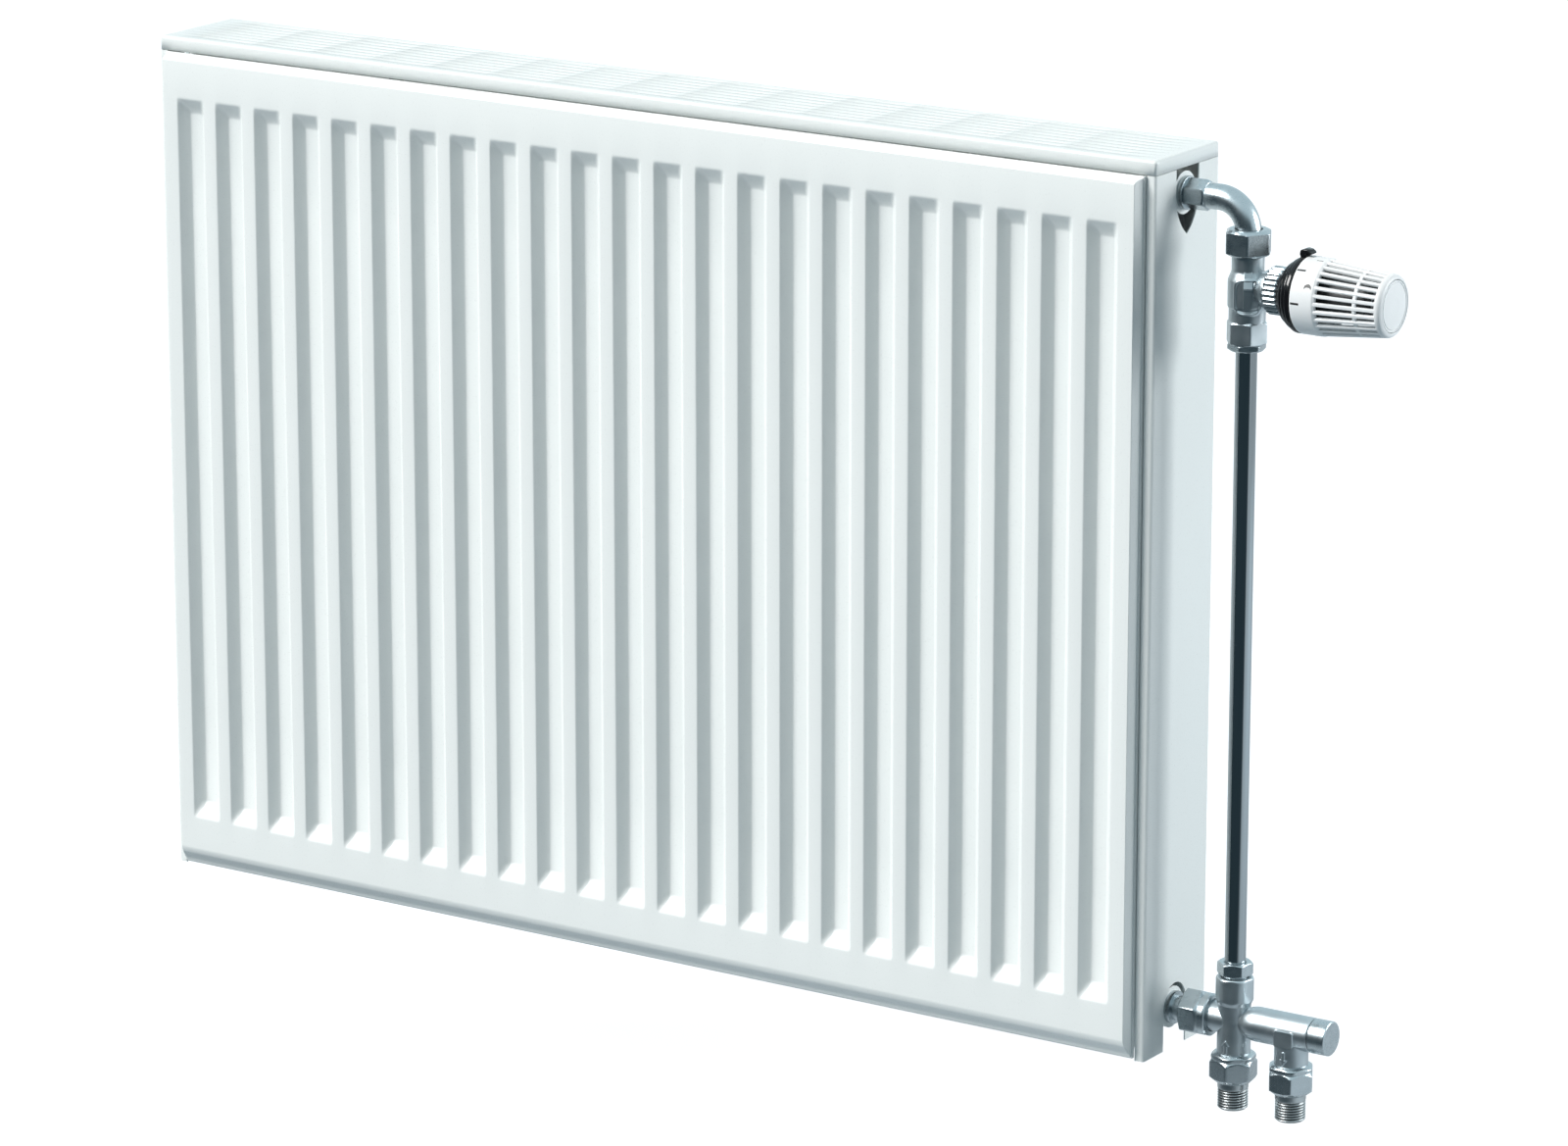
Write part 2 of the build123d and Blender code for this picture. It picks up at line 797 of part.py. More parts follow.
def head_nut_form():
    """Fluted ring nut that draws the head on to the valve's branch."""
    nut = rod(head_nut_start, head_nut_end, head_nut_radius)
    places = PolarLocations(head_nut_radius, head_nut_flutes)
    flutes = Sketch() + [place * Circle(head_nut_flute_radius) for place in places]
    nut -= Pos(head_nut_start, 0, 0) * Rot(0, 90, 0) * extrude(flutes, head_nut_end - head_nut_start)
    nut -= rod(head_nut_start, head_nut_end - head_nut_lip, branch_thread_radius + slip)
    return nut - rod(head_nut_start, head_nut_end, base_neck_radius + slip)


head_nut = at_head * head_nut_form()

sleeve_radius = dial_radius - dial_wall - slip
step_places = [head_nut_end + guide_clearance + i * base_step_length for i in range(len(base_step_radii))]
ring_start = step_places[-1] + base_step_length - pointer_ring_length
ring_end = ring_start + pointer_ring_length
dial_start = ring_end + dial_gap
collar_end = dial_start + dial_collar_length
cage_end = collar_end + cage_length
dial_end = cage_end + rim_length
base_sleeve_end = collar_end - base_sleeve_setback


def head_base_form():
    """Black foot of the head: a flange held by the nut, three steps and the sleeve the dial turns on."""
    neck_end = head_nut_end + guide_clearance
    base = rod(base_flange_start, base_flange_end, base_flange_radius)
    base += rod(base_flange_start, neck_end, base_neck_radius)
    for place, radius in zip(step_places, base_step_radii):
        end = min(place + base_step_length, ring_start)
        base += rod(place, end, radius)
    base += rod(step_places[-1], base_sleeve_end, sleeve_radius)
    base -= rod(base_flange_start, base_sleeve_end, base_bore)
    return base - rod(sensor_start - sensor_room, base_sleeve_end, sensor_radius + guide_clearance)


head_base = at_head * head_base_form()


def pointer_ring_form():
    """Black ring with a tab over the dial's edge that marks the setting."""
    ring = rod(ring_start, ring_end, pointer_ring_radius)
    low = dial_radius + pointer_lift
    high = low + pointer_height
    half = pointer_width / 2
    tab = block(ring_start, ring_end, -half, half, sleeve_radius, high)
    tab += block(ring_end, ring_end + pointer_overhang, -half, half, low, high)
    return ring + tab - rod(ring_start, ring_end, sleeve_radius + slip)


pointer_ring = at_head * pointer_ring_form()
end_disc_radius = rim_radius - end_disc_border
cage_slot = 2 * pi * cage_end_radius / cage_ribs - cage_rib_width


def dial_form():
    """Collar, tapered cage with two rows of windows, and the rounded end."""
    shell = turned(
        (dial_start, 0),
        (dial_start, dial_radius),
        (collar_end, dial_radius),
        (cage_end, cage_end_radius),
        (dial_end, rim_radius),
        (dial_end, 0),
    )
    hollow = turned(
        (dial_start, 0),
        (dial_start, dial_radius - dial_wall),
        (collar_end, dial_radius - dial_wall),
        (cage_end, cage_end_radius - cage_wall),
        (dial_end - dial_end_wall, cage_end_radius - cage_wall),
        (dial_end - dial_end_wall, 0),
    )
    shell -= hollow
    shell -= rod(dial_end - end_disc_depth, dial_end, end_disc_radius)
    ring = collar_end + cage_ring_place
    spans = [(collar_end + cage_margin, ring), (ring + cage_ring_width, cage_end - cage_margin)]
    windows = []
    for start, end in spans:
        window = block(start, end, -cage_slot / 2, cage_slot / 2, sensor_radius, dial_radius + cage_wall)
        windows += [Rot(360 * i / cage_ribs, 0, 0) * window for i in range(cage_ribs)]
    return shell - windows


dial = at_head * dial_form()
end_disc = at_head * rod(dial_end - end_disc_depth, dial_end, end_disc_radius - slip)

sensor_end = sensor_start + sensor_length
sensor_capsule = at_head * rod(sensor_start, sensor_end, sensor_radius)
push_pin = at_head * rod(spindle_end + pin_gap, sensor_start, pin_radius)
overtravel_start = sensor_end + overtravel_wire / 2
overtravel_rise = overtravel_length - overtravel_wire
overtravel_spring = at_head * coil(
    overtravel_start,
    overtravel_rise,
    overtravel_radius,
    overtravel_wire,
    overtravel_turns,
)


# Riser pipe and its compression fittings

def olive_form(start):
    """Ring with tapered ends round the pipe."""
    end = start + olive_length
    bore = riser_radius + slip
    return turned(
        (start, bore),
        (start, olive_radius - olive_taper),
        (start + olive_taper, olive_radius),
        (end - olive_taper, olive_radius),
        (end, olive_radius - olive_taper),
        (end, bore),
    )


riser_top_z = body_bottom_z + pipe_entry
riser_foot_z = lower_z + block_pipe_stop
at_riser = Pos(riser_x, axis_y, 0) * up
riser_pipe = at_riser * sleeve(riser_foot_z, riser_top_z, riser_radius, riser_bore)

gland_form = rod(body_bottom_z, body_bottom_z + gland_shank, compression_radius)
gland_form += nut_form(body_bottom_z - gland_head, body_bottom_z, gland_head_flats)
gland_form -= rod(body_bottom_z - gland_head, body_bottom_z + gland_shank, riser_radius + slip)
riser_gland = at_riser * gland_form
riser_upper_olive = at_riser * olive_form(body_bottom_z + gland_shank)

nut_bottom_z = lower_z + block_socket_top + riser_nut_gap
shank_bottom_z = nut_bottom_z - riser_nut_shank
riser_nut_form = nut_form(nut_bottom_z, nut_bottom_z + riser_nut_length, riser_nut_flats)
riser_nut_form += rod(shank_bottom_z, nut_bottom_z, compression_radius)
riser_nut_form -= rod(shank_bottom_z, nut_bottom_z + riser_nut_length, riser_radius + slip)
riser_nut = at_riser * riser_nut_form
riser_lower_olive = at_riser * olive_form(shank_bottom_z - olive_length)


# Connection block: a cross of tubes with two crossing passages, and the shut-off in its right-hand tube

def tail_neck(place):
    """A downward neck with its union thread, at a place along the block."""
    thread_top = block_tail_thread - block_tail_drop
    neck = up * rod(-block_tail_drop, 0, block_neck_radius)
    neck += up * rod(-block_tail_drop, thread_top, union_thread_radius)
    return Pos(place, 0, 0) * neck


def connection_block_form():
    """About the crossing of the riser axis and the block's long axis."""
    thread_end = block_left_thread - block_left_reach
    body = rod(-block_left_reach, 0, block_neck_radius)
    body += rod(-block_left_reach, thread_end, union_thread_radius)
    body += up * rod(0, block_socket_top, block_neck_radius)
    body += up * rod(block_socket_bottom, block_socket_top, block_socket_radius)
    body += tail_neck(0)
    body += rod(block_tube_start, block_tube_end, block_tube_radius)
    body += tail_neck(tail_centres)
    body += rod(block_tube_end, spigot_end, cap_spigot_radius)
    pad_front = -block_tube_radius - pad_proud
    pad_left = tail_centres - pad_width / 2
    body += block(pad_left, pad_left + pad_width, pad_front, 0, pad_rise - pad_height, pad_rise)
    body -= rod(-block_left_reach, -block_left_reach + neck_bore_depth, tail_bore)
    body -= Pos(0, passage_offset, 0) * rod(-block_left_reach, first_chamber_start + slip, passage_radius)
    body -= rod(first_chamber_start, first_chamber_end, first_chamber_radius)
    body -= rod(first_chamber_end, shutoff_chamber_start, shutoff_seat_radius)
    body -= rod(shutoff_chamber_start, spigot_end, shutoff_chamber_radius + slip)
    compression_floor = block_socket_top + riser_nut_gap - riser_nut_shank - olive_length - olive_gap
    body -= up * rod(compression_floor, block_socket_top, compression_radius + slip)
    body -= up * rod(block_pipe_stop, block_socket_top, riser_radius + slip)
    body -= Pos(0, -passage_offset, 0) * up * rod(-passage_half_height, block_pipe_stop, passage_radius)
    body -= up * rod(-block_tail_drop, -passage_half_height, tail_bore)
    return body - Pos(tail_centres, 0, 0) * up * rod(-block_tail_drop, 0, tail_bore)


connection_block = at_block * connection_block_form()

plug_start = shutoff_chamber_start + shutoff_gap + shutoff_travel
plug_end = plug_start + shutoff_plug_length
shutoff_plug = at_block * rod(plug_start, plug_end, shutoff_plug_radius)
slot_start = shutoff_spindle_end - shutoff_slot_depth
slot_half = shutoff_slot_width / 2
shutoff_form = rod(plug_end, shutoff_spindle_end, shutoff_spindle_radius)
shutoff_form -= block(
    slot_start, shutoff_spindle_end, -shutoff_spindle_radius, shutoff_spindle_radius, -slot_half, slot_half
)
shutoff_spindle = at_block * shutoff_form
shutoff_gland = at_block * sleeve(
    shutoff_gland_start,
    shutoff_gland_end,
    shutoff_chamber_radius,
    shutoff_spindle_radius + slip,
)

cap_start = block_tube_end + cap_gap
cap_end = cap_start + cap_length
cap_form = rod(cap_start, cap_end, block_tube_radius)
cap_form -= rod(cap_start, cap_end - cap_wall, cap_spigot_radius + slip)
end_cap = at_block * cap_form
cap_seal_start = cap_end - cap_wall - slip - cap_seal_length
cap_seal_end = cap_seal_start + cap_seal_length
cap_seal = at_block * sleeve(cap_seal_start, cap_seal_end, cap_spigot_radius - slip, cap_seal_bore)


# Tails: one screwed into the lower tapping, and two that take the house's pipes

def lower_tail_form():
    """Spigot, shoulder and tube, about the lower right-hand tapping's mouth."""
    collar_start = riser_x - block_left_reach - union_seat + union_lip - mouth_x
    tail = rod(-spigot_length, 0, spigot_radius)
    tail += rod(0, elbow_shoulder, elbow_shoulder_radius)
    tail += rod(0, collar_start, tail_radius)
    tail += rod(collar_start, collar_start + union_collar, union_collar_radius)
    return tail - rod(-spigot_length, collar_start + union_collar, tail_bore)


def threaded_tail_form():
    """Collar and male thread, along X from the thread's free end at the nut's outer side."""
    tail = rod(-tail_thread_length, -guide_clearance, tail_thread_radius)
    tail += rod(-guide_clearance, union_lip, tail_radius) + union_collar_form()
    return tail - rod(-tail_thread_length, union_lip + union_collar, tail_bore)


lower_tail = Pos(mouth_x, axis_y, lower_z) * lower_tail_form()
flow_tail = at_flow_union * threaded_tail_form()
return_tail = at_return_union * threaded_tail_form()


nodes = {
    "front_panel_outer": front_panel_outer,
    "front_panel_inner": front_panel_inner,
    "rear_panel_inner": rear_panel_inner,
    "rear_panel_outer": rear_panel_outer,
    "front_convector": front_convector,
    "rear_convector": rear_convector,
    "top_grille": top_grille,
    "grille_clips": grille_clips,
    "left_side_cover": left_side_cover,
    "right_side_cover": right_side_cover,
    "corner_tees": corner_tees,
    "hanger_lugs": hanger_lugs,
    "blanking_plug": blanking_plug,
    "blanking_plug_seal": blanking_plug_seal,
    "vent_plug": vent_plug,
    "vent_plug_seal": vent_plug_seal,
    "vent_spout": vent_spout,
    "bleed_screw": bleed_screw,
    "elbow_tail": elbow_tail,
    "upper_union_nut": upper_union_nut,
    "upper_gasket": upper_gasket,
    "valve_body": valve_body,
    "valve_insert": valve_insert,
    "insert_seal": insert_seal,
    "spindle_gland": spindle_gland,
    "valve_disc": valve_disc,
    "valve_spindle": valve_spindle,
    "return_spring": return_spring,
    "head_nut": head_nut,
    "head_base": head_base,
    "pointer_ring": pointer_ring,
    "dial": dial,
    "end_disc": end_disc,
    "sensor_capsule": sensor_capsule,
    "push_pin": push_pin,
    "overtravel_spring": overtravel_spring,
    "riser_gland": riser_gland,
    "riser_upper_olive": riser_upper_olive,
    "riser_pipe": riser_pipe,
    "riser_nut": riser_nut,
    "riser_lower_olive": riser_lower_olive,
    "connection_block": connection_block,
    "lower_tail": lower_tail,
    "lower_union_nut": lower_union_nut,
    "lower_gasket": lower_gasket,
    "flow_union_nut": flow_union_nut,
    "return_union_nut": return_union_nut,
    "flow_tail": flow_tail,
    "return_tail": return_tail,
    "tail_gaskets": tail_gaskets,
    "shutoff_plug": shutoff_plug,
    "shutoff_spindle": shutoff_spindle,
    "shutoff_gland": shutoff_gland,
    "end_cap": end_cap,
    "cap_seal": cap_seal,
}

os.makedirs("parts", exist_ok=True)
for name, shape in nodes.items():
    pieces = shape if isinstance(shape, list) else [shape]
    solids = [solid for piece in pieces for solid in piece.solids()]
    export_step(Compound(children=solids) if len(solids) > 1 else solids[0], f"parts/{name}.step")
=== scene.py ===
"""A wall-hung panel radiator with its thermostatic valve set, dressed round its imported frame.

Metres, with +X towards the valve, +Y towards the wall and +Z up.
"""

import bmesh
import bpy
import numpy as np
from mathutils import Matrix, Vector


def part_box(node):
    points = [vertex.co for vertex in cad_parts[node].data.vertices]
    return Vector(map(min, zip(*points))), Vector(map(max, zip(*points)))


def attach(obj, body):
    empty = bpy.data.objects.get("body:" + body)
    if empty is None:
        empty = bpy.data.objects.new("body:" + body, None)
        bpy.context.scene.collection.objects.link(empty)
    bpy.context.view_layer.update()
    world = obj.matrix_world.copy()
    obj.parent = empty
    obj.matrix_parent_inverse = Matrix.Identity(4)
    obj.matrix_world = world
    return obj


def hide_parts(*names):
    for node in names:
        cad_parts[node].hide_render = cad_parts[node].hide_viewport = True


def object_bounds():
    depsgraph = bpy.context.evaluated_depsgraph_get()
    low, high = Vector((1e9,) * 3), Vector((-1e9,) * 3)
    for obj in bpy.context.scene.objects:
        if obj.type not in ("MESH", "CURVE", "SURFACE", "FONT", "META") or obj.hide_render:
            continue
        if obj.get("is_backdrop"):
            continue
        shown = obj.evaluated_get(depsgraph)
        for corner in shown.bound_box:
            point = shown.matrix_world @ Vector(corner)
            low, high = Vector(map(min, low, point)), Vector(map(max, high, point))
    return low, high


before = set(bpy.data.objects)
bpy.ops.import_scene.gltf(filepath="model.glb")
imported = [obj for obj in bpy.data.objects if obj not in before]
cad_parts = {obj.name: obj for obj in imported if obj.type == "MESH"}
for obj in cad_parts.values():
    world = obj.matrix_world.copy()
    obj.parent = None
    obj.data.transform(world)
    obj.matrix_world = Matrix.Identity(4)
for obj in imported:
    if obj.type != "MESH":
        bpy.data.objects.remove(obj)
cad_low, cad_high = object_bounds()


# Water panels. The two outer sheets are 1.2 mm steel pressed with 23 upright grooves and seam-welded round
# the rim to plainer inner sheets. The lot is dipped and powder-coated in a cool white with a fine orange
# peel. Roundings are shares of the pressed depth.

groove_count = 23
groove_pitch = 0.1 / 3
groove_mouth = 0.023
groove_depth = 0.0074
groove_side_run = 0.0060
groove_end_run = 0.0108
groove_from_top = 0.0303
groove_from_bottom = 0.0368
rim_land = 0.0008
side_bevel = 0.0022
top_bevel = 0.0014
top_rounding = 1.6
bottom_bevel = 0.0115
bottom_fold = (0.72, 0.80)
floor_rounding = 0.1
mouth_rounding = 0.12
face_rounding = 0.14
groove_corner = 0.4
border_corner = 0.1
sheet_gauge = 0.0012


class Link:
    """A shader socket that takes plain arithmetic: each operator on it adds a Math node to its tree."""

    def __init__(self, tree, socket=None):
        self.tree = tree
        self.socket = socket

    def node(self, kind, settings=None, sockets=None, output=0):
        """Adds any node: its settings are set first, then its sockets get values or links."""
        made = self.tree.nodes.new("ShaderNode" + kind)
        for key, value in (settings or {}).items():
            setattr(made, key, value)
        for key, value in (sockets or {}).items():
            if isinstance(value, Link):
                self.tree.links.new(value.socket, made.inputs[key])
            else:
                made.inputs[key].default_value = value
        return Link(self.tree, made.outputs[output] if made.outputs else None)

    def maths(self, operation, a, b=0.0):
        return self.node("Math", {"operation": operation}, {0: a, 1: b})

    def __add__(self, other):
        return self.maths("ADD", self, other)

    def __sub__(self, other):
        return self.maths("SUBTRACT", self, other)

    def __rsub__(self, other):
        return self.maths("SUBTRACT", other, self)

    def __mul__(self, other):
        return self.maths("MULTIPLY", self, other)

    __radd__ = __add__
    __rmul__ = __mul__

    def mixed(self, first, second):
        """A colour between two, by this value."""
        return self.node("Mix", {"data_type": "RGBA"}, {0: self, 6: first, 7: second}, output=2)

    def noise(self, scale, detail=2.0, stretch=(1.0, 1.0, 1.0)):
        """Noise on the piece's own coordinates, drawn out along an axis by a smaller stretch."""
        place = self.node("TexCoord", output="Object")
        place = self.node("Mapping", {}, {"Vector": place, "Scale": stretch})
        return self.node("TexNoise", {}, {"Vector": place, "Scale": scale, "Detail": detail})

    def bump(self, height, distance):
        """A normal raised by a height of 0 to 1 over a distance in metres."""
        return self.node("Bump", {}, {"Height": height, "Strength": 1.0, "Distance": distance})


def finish(name, recipe):
    """A material with one Principled shader, whose sockets the recipe gives."""
    material = bpy.data.materials.new(name)
    material.use_nodes = True
    tree = material.node_tree
    tree.nodes.clear()
    pen = Link(tree)
    shader = pen.node("BsdfPrincipled", {}, recipe(pen))
    pen.node("OutputMaterial", {}, {"Surface": shader})
    return material


def powder_coat(pen):
    """Cool white, with a slow drift of tone and an orange peel about a millimetre across."""
    drift = pen.noise(7.0, 1.0)
    peel = pen.noise(900.0)
    return {
        "Base Color": drift.mixed((0.800, 0.833, 0.822, 1), (0.835, 0.866, 0.853, 1)),
        "Roughness": 0.24 + 0.1 * peel,
        "Normal": pen.bump(peel, 0.00002),
    }


def soft_least(a, b, blend):
    """The lesser of two values, rounded off where they come within the blend of each other."""
    near = np.maximum(blend - np.abs(a - b), 0) / blend
    return np.minimum(a, b) - near**2 * blend / 4


def soft_most(a, b, blend):
    """The greater of two values, rounded off in the same way."""
    return -soft_least(-a, -b, blend)


def grid_quads(rows, columns, wrap_rows, wrap_columns):
    """Corner numbers of the quads of a grid of points, closed on itself where asked."""
    row, column = np.meshgrid(
        np.arange(rows if wrap_rows else rows - 1),
        np.arange(columns if wrap_columns else columns - 1),
        indexing="ij",
    )
    above = (row + 1) % rows
    beside = (column + 1) % columns
    corners = [
        row * columns + column,
        row * columns + beside,
        above * columns + beside,
        above * columns + column,
    ]
    return np.stack(corners, axis=-1).reshape(-1, 4)


def shape_piece(name, surfaces, closed=True, crease=38.0):
    """One object from grids of points, each with its two wraps.

    Points that coincide are merged, and a closed piece has its faces turned outwards.
    """
    points = []
    quads = []
    count = 0
    for grid, wrap_rows, wrap_columns in surfaces:
        rows, columns = grid.shape[:2]
        points.append(grid.reshape(-1, 3))
        quads.append(grid_quads(rows, columns, wrap_rows, wrap_columns) + count)
        count += rows * columns
    mesh = bpy.data.meshes.new(name)
    mesh.from_pydata(np.concatenate(points).tolist(), [], np.concatenate(quads).tolist())
    form = bmesh.new()
    form.from_mesh(mesh)
    bmesh.ops.remove_doubles(form, verts=form.verts, dist=1e-6)
    if closed:
        bmesh.ops.recalc_face_normals(form, faces=form.faces)
    form.to_mesh(mesh)
    form.free()
    mesh.shade_smooth()
    mesh.set_sharp_from_angle(angle=np.radians(crease))
    piece = bpy.data.objects.new(name, mesh)
    bpy.context.scene.collection.objects.link(piece)
    return piece


def thicken(piece, gauge):
    """Gives a sheet its gauge, inwards from the face that was drawn."""
    wall = piece.modifiers.new("gauge", "SOLIDIFY")
    wall.thickness = gauge
    wall.offset = -1.0


def fit(piece, material, slot, body, *stands_for):
    """Gives a piece its finish and puts it on its body, in place of the nodes that it stands for."""
    piece.data.materials.append(material)
    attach(piece, body)
    if stands_for:
        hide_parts(*stands_for)


def coat(material, *names):
    """Gives carried-over nodes their finish."""
    for name in names:
        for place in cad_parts[name].material_slots:
            place.material = material


def corners_of(node):
    """A node's lowest and highest corner as arrays."""
    return tuple(np.array(corner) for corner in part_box(node))


def pressed_sheet(low, high):
    """Points over X and Z, with the depth behind the face in place of Y.

    Each border rises from the rim over its own run, the bottom one in two folds and the top one in a round,
    and the least of the four is the height there. A groove's depth is the lesser of the ways in from its
    side and its end, rounded at the mouth and the floor. The sheet lies as deep as the deeper of the two.
    """
    mouth = np.linspace(-mouth_rounding, mouth_rounding, 6)
    floor = np.linspace(1 - floor_rounding, 1 + floor_rounding, 5)
    ramp = np.concatenate([mouth, [0.3, 0.5, 0.7], floor])
    fold = bottom_fold[0] + np.linspace(-0.04, 0.04, 3)
    rise = np.concatenate([[0.0, 0.3, 0.55], fold, np.linspace(0.8, 1.2, 9)])
    foot = low[2] + groove_from_bottom
    head = high[2] - groove_from_top
    middles = (np.arange(groove_count) - groove_count // 2) * groove_pitch
    wall = ramp * groove_side_run - groove_mouth / 2
    side = np.append(0, rim_land + rise * side_bevel)
    x = np.concatenate([low[0] + side, high[0] - side, np.add.outer(middles, [wall, -wall]).ravel()])
    z = np.concatenate([
        low[2] + np.append(0, rim_land + rise * bottom_bevel),
        high[2] - np.append(0, rim_land + np.linspace(0, 1 + top_rounding, 12) * top_bevel),
        foot + ramp * groove_end_run,
        head - ramp * groove_end_run,
        np.linspace(foot, head, 8)[1:-1],
    ])
    across, up = np.meshgrid(np.sort(x), np.sort(z), indexing="ij")
    left = (across - low[0] - rim_land) / side_bevel
    right = (high[0] - rim_land - across) / side_bevel
    top = soft_least((high[2] - rim_land - up) / top_bevel, 1.0, top_rounding)
    low_run = (up - low[2] - rim_land) / bottom_bevel
    bottom = np.interp(low_run, (-1, 0, bottom_fold[0], 1, 100), (-1, 0, bottom_fold[1], 1, 100))
    border = soft_least(soft_least(left, right, border_corner), bottom, border_corner)
    border = np.maximum(np.minimum(soft_least(border, 1.0, face_rounding), top), 0)
    middle = np.clip(np.round(across / groove_pitch), middles[0] / groove_pitch, middles[-1] / groove_pitch)
    from_side = (groove_mouth / 2 - np.abs(across - middle * groove_pitch)) / groove_side_run
    from_end = np.minimum(up - foot, head - up) / groove_end_run
    groove = soft_least(soft_least(from_side, from_end, groove_corner), 1.0, floor_rounding)
    depth = groove_depth * np.maximum(1 - border, soft_most(groove, 0.0, mouth_rounding))
    return np.stack([across, depth, up], axis=-1)


enamel = finish("white_powder_coat", powder_coat)
for name, facing in (("front_panel_outer", -1), ("rear_panel_outer", 1)):
    low, high = corners_of(name)
    face = low[1] if facing < 0 else high[1]
    sheet = pressed_sheet(low, high)[::facing]
    sheet[..., 1] = face - facing * sheet[..., 1]
    panel = shape_piece(name.replace("_outer", "_face"), [(sheet, False, False)], closed=False)
    thicken(panel, sheet_gauge)
    fit(panel, enamel, "enamel", "radiator", name)
coat(enamel, "front_panel_inner", "rear_panel_inner")


# Convectors and corner tees. The convectors are 0.4 mm sheet folded like a fan and spot-welded to the backs
# of the water channels, with a thinner and greyer coat. The tees are short tubes welded between the panels,
# each with a threaded socket, and are coated along with them.

def thin_coat(pen):
    """The same coat gone thin: greyer, duller and a little uneven."""
    drift = pen.noise(30.0)
    grain = pen.noise(1400.0)
    return {
        "Base Color": drift.mixed((0.74, 0.775, 0.785, 1), (0.81, 0.84, 0.845, 1)),
        "Roughness": 0.38 + 0.16 * grain,
        "Normal": pen.bump(grain, 0.00003),
    }


thin_enamel = finish("thin_powder_coat", thin_coat)
coat(thin_enamel, "front_convector", "rear_convector")
coat(enamel, "corner_tees")


# Top grille. A pan folded from 1 mm sheet, slotted in 15 groups of eight, that snaps down between the panels
# with four bent spring-steel clips and leaves a fine seam over the side covers.

slot_group_count = 15
slot_group_pitch = 0.05
slot_bridge = 0.004
slot_row_count = 8
slot_row_pitch = 0.0085
slot_width = 0.0016
grille_gauge = 0.001
grille_bend = 0.002
grille_bend_steps = 7
grille_seam = 0.0003


def slot_edges(count, pitch, opening, middle):
    """Both edges of each of a row of openings, in order."""
    places = middle + (np.arange(count) - (count - 1) / 2) * pitch
    return np.add.outer(places, [-opening / 2, opening / 2]).ravel()


def slotted_pan(low, high):
    """A flat plate on a grid of slot edges, less every slot, and a skirt that bends down round its border.

    The skirt is carried round the plate's border: outwards by the sine of the bend and down by one less its
    cosine, then straight down to the seam.
    """
    left, front = low[:2] + grille_bend
    right, back = high[:2] - grille_bend
    group_length = slot_group_pitch - slot_bridge
    groups = slot_edges(slot_group_count, slot_group_pitch, group_length, (left + right) / 2)
    rows = slot_edges(slot_row_count, slot_row_pitch, slot_width, (front + back) / 2)
    x = np.concatenate([[left], groups, [right]])
    y = np.concatenate([[front], rows, [back]])
    plate = np.stack(np.meshgrid(x, y, high[2], indexing="ij"), axis=-1)[:, :, 0]
    surfaces = [(plate[i:i + 2], False, False) for i in range(0, len(x) - 1, 2)]
    for i in range(1, len(x) - 1, 2):
        surfaces += [(plate[i:i + 2, j:j + 2], False, False) for j in range(0, len(y) - 1, 2)]
    turn = np.linspace(-np.pi / 2, 0, grille_bend_steps)
    sides = [plate[:, 0, :2], plate[-1, :, :2], plate[::-1, -1, :2], plate[0, ::-1, :2]]
    base = np.concatenate([
        np.concatenate([side, np.repeat(side[-1:], len(turn), axis=0)]) for side in sides
    ])
    angle = np.concatenate([
        np.concatenate([np.full(len(side), turn[0]), turn]) + i * np.pi / 2 for i, side in enumerate(sides)
    ])
    bend = np.linspace(0, np.pi / 2, grille_bend_steps)
    out = np.append(np.sin(bend), 1.0)[:, None] * grille_bend
    height = np.append(high[2] - grille_bend * (1 - np.cos(bend)), low[2] + grille_seam)[:, None]
    skirt = [base[:, 0] + out * np.cos(angle), base[:, 1] + out * np.sin(angle), height + 0 * angle]
    return surfaces + [(np.stack(skirt, axis=-1), False, True)]


grille = shape_piece("slotted_grille", slotted_pan(*corners_of("top_grille")))
thicken(grille, grille_gauge)
fit(grille, enamel, "enamel", "radiator", "top_grille")


# Side covers, hanger lugs and clips. The covers are folded channels hooked on to the panel rims, cut out
# round the tappings; the lugs are straps welded to the back, and the clips bright spring steel.

def blued_steel(pen):
    """Spring steel with fine drawn lines along the strip."""
    lines = pen.noise(2600.0, 1.0, (0.05, 1.0, 1.0))
    return {
        "Base Color": lines.mixed((0.30, 0.31, 0.33, 1), (0.46, 0.47, 0.48, 1)),
        "Metallic": 1.0,
        "Roughness": 0.28 + 0.16 * lines,
    }


coat(enamel, "hanger_lugs", "left_side_cover", "right_side_cover")
spring_steel = finish("spring_steel", blued_steel)
coat(spring_steel, "grille_clips", "return_spring", "overtravel_spring")


# Left-hand plugs. Nickel-plated brass plugs with flat rubber rings close the two left tappings; the upper
# one carries a brass bleed screw and a white plastic spout that swivels.

def turned_nickel(pen):
    """Nickel plate on turned brass: a fine satin with faint wiping marks."""
    wipe = pen.noise(160.0, 3.0)
    grain = pen.noise(2400.0, 1.0)
    return {
        "Base Color": wipe.mixed((0.41, 0.458, 0.482, 1), (0.53, 0.575, 0.595, 1)),
        "Metallic": 1.0,
        "Roughness": 0.2 + 0.1 * wipe + 0.06 * grain,
        "Normal": pen.bump(grain, 0.000006),
    }


def turned_brass(pen):
    """Bare brass with tool marks."""
    marks = pen.noise(1800.0, 1.0, (1.0, 0.1, 0.1))
    return {
        "Base Color": marks.mixed((0.55, 0.40, 0.16, 1), (0.72, 0.55, 0.25, 1)),
        "Metallic": 1.0,
        "Roughness": 0.22 + 0.14 * marks,
    }


def black_rubber(pen):
    """Dull black with a bloom."""
    bloom = pen.noise(420.0)
    return {
        "Base Color": bloom.mixed((0.012, 0.012, 0.012, 1), (0.035, 0.035, 0.037, 1)),
        "Roughness": 0.55 + 0.2 * bloom,
        "Normal": pen.bump(bloom, 0.00004),
    }


